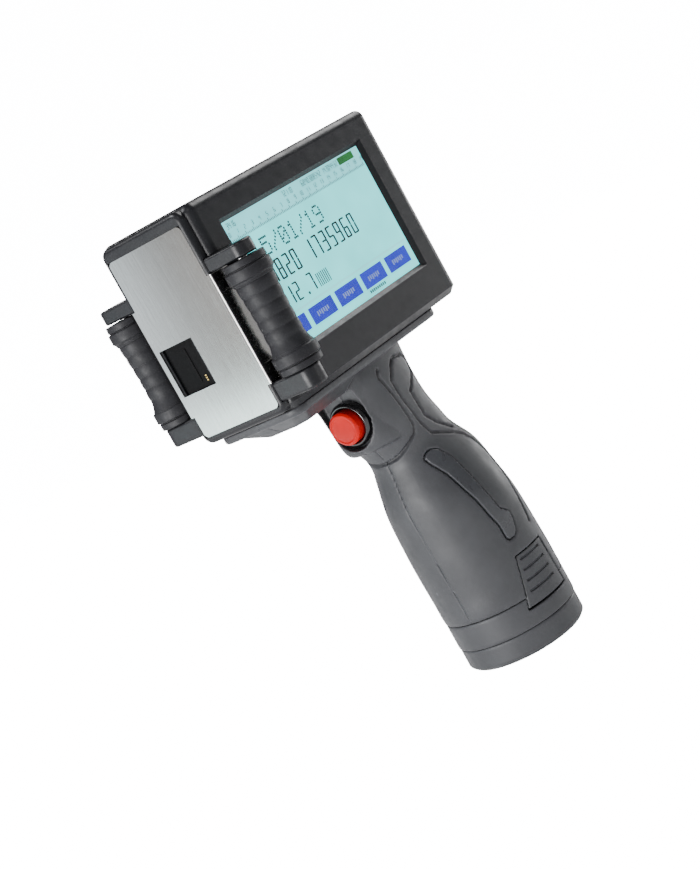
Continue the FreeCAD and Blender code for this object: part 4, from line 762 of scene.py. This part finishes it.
def add_camera():
    forward = Vector((-math.sin(YAW) * math.cos(PITCH), math.cos(YAW) * math.cos(PITCH), math.sin(PITCH)))
    right = Vector((math.cos(YAW), math.sin(YAW), 0))
    up = right.cross(forward)
    tilted_right = math.cos(ROLL) * right + math.sin(ROLL) * up
    tilted_up = math.cos(ROLL) * up - math.sin(ROLL) * right
    turn = Matrix((tilted_right, tilted_up, -forward)).transposed()
    data = bpy.data.cameras.new("photo_camera")
    data.lens = LENS
    data.sensor_width = SENSOR_WIDTH
    data.clip_start = NEAR
    camera = bpy.data.objects.new("photo_camera", data)
    camera.matrix_world = Matrix.Translation(EYE) @ turn.to_4x4()
    bpy.context.scene.collection.objects.link(camera)
    bpy.context.scene.camera = camera


def add_area(name, place, target, size, power, colour):
    data = bpy.data.lights.new(name, "AREA")
    data.shape = "RECTANGLE"
    data.size, data.size_y = size
    data.energy = power
    data.color = colour
    light = bpy.data.objects.new(name, data)
    light.location = place
    light.rotation_euler = (Vector(target) - Vector(place)).to_track_quat("-Z", "Y").to_euler()
    light.visible_camera = False
    bpy.context.scene.collection.objects.link(light)


def bright_to_camera(tree, shader_input, seen, cast):
    """A strength that is higher for the camera than for what the surface or sky lights."""
    path = tree.nodes.new("ShaderNodeLightPath")
    spread = tree.nodes.new("ShaderNodeMapRange")
    spread.inputs["To Min"].default_value = cast
    spread.inputs["To Max"].default_value = seen
    tree.links.new(path.outputs["Is Camera Ray"], spread.inputs["Value"])
    tree.links.new(spread.outputs["Result"], shader_input)


# Soft lights: name, place, target, size in metres, power in watts and tint
LIGHTS = [
    ("front_left", (-0.5, -0.7, 1.15), CENTRE, (0.6, 0.6), 12, (0.97, 0.98, 1.0)),
    ("low_front", (-0.15, -1.0, 0.1), (0, 0, 0.04), (0.6, 0.18), 8, (1, 1, 1)),
    ("camera_side", (0.75, -0.75, 0.9), CENTRE, (0.4, 0.4), 2, (1, 1, 1)),
    ("rear_side", (0.2, 1.15, 0.1), (0, 0, 0.08), (0.3, 0.3), 2.5, (1, 1, 1)),
    ("far_back", (-0.95, 1.15, 0.4), CENTRE, (0.6, 0.4), 6, (1, 1, 1)),
    ("above", (0.22, 1.0, 0.95), CENTRE, (0.9, 0.45), 9, (1, 1, 1)),
]
# Cards that the printing face mirrors to the camera: low and high corners in X and Z, brightness and tint
CARDS = [
    ("card_cool", (-1.0, 0.05), (-0.765, 0.42), 2.0, (0.78, 0.92, 1.0)),
    ("card_side", (-0.69, 0.05), (-0.5, 0.42), 0.55, (1.0, 0.85, 0.72)),
    ("card_low", (-1.0, 0.0), (-0.5, 0.045), 6.5, (0.76, 1.0, 1.0)),
]
CARD_Y = -0.874


def add_studio():
    """An even pale sky, soft lights and the cards."""
    world = bpy.data.worlds.new("studio")
    bpy.context.scene.world = world
    world.use_nodes = True
    sky = world.node_tree.nodes["Background"]
    sky.inputs["Color"].default_value = (*PALE, 1)
    bright_to_camera(world.node_tree, sky.inputs["Strength"], SKY_SEEN, SKY_CAST)
    for light in LIGHTS:
        add_area(*light)
    for card in CARDS:
        add_card(*card)


def add_card(name, low, high, strength, colour):
    """A panel of light in the vertical plane that the camera sees mirrored in the printing face."""
    width, height = high[0] - low[0], high[1] - low[1]
    middle = Vector(((low[0] + high[0]) / 2, CARD_Y, (low[1] + high[1]) / 2))
    power = strength * math.pi * width * height
    add_area(name, middle, middle + Vector((0, 1, 0)), (width, height), power, colour)


def add_floor():
    """A level sheet of pale paper, wide enough to run past the view on every side."""
    mesh = bpy.data.meshes.new("floor")
    corners = [(x * FLOOR_REACH, y * FLOOR_REACH, 0) for x, y in ((-1, -1), (1, -1), (1, 1), (-1, 1))]
    mesh.from_pydata(corners, [], [(0, 1, 2, 3)])
    floor = bpy.data.objects.new("floor", mesh)
    bpy.context.scene.collection.objects.link(floor)
    material = bpy.data.materials.new("floor_paper")
    material.use_nodes = True
    shader = material.node_tree.nodes["Principled BSDF"]
    shader.inputs["Base Color"].default_value = (0.9, 0.9, 0.9, 1)
    shader.inputs["Roughness"].default_value = 0.9
    shader.inputs["Emission Color"].default_value = (*PALE, 1)
    bright_to_camera(material.node_tree, shader.inputs["Emission Strength"], FLOOR_SEEN, FLOOR_CAST)
    mesh.materials.append(material)


dress_nodes()
add_handle()
add_button()
for side in SIDES:
    add_roller(side)
add_nozzle_face()
add_display()
add_camera()
add_studio()
add_floor()
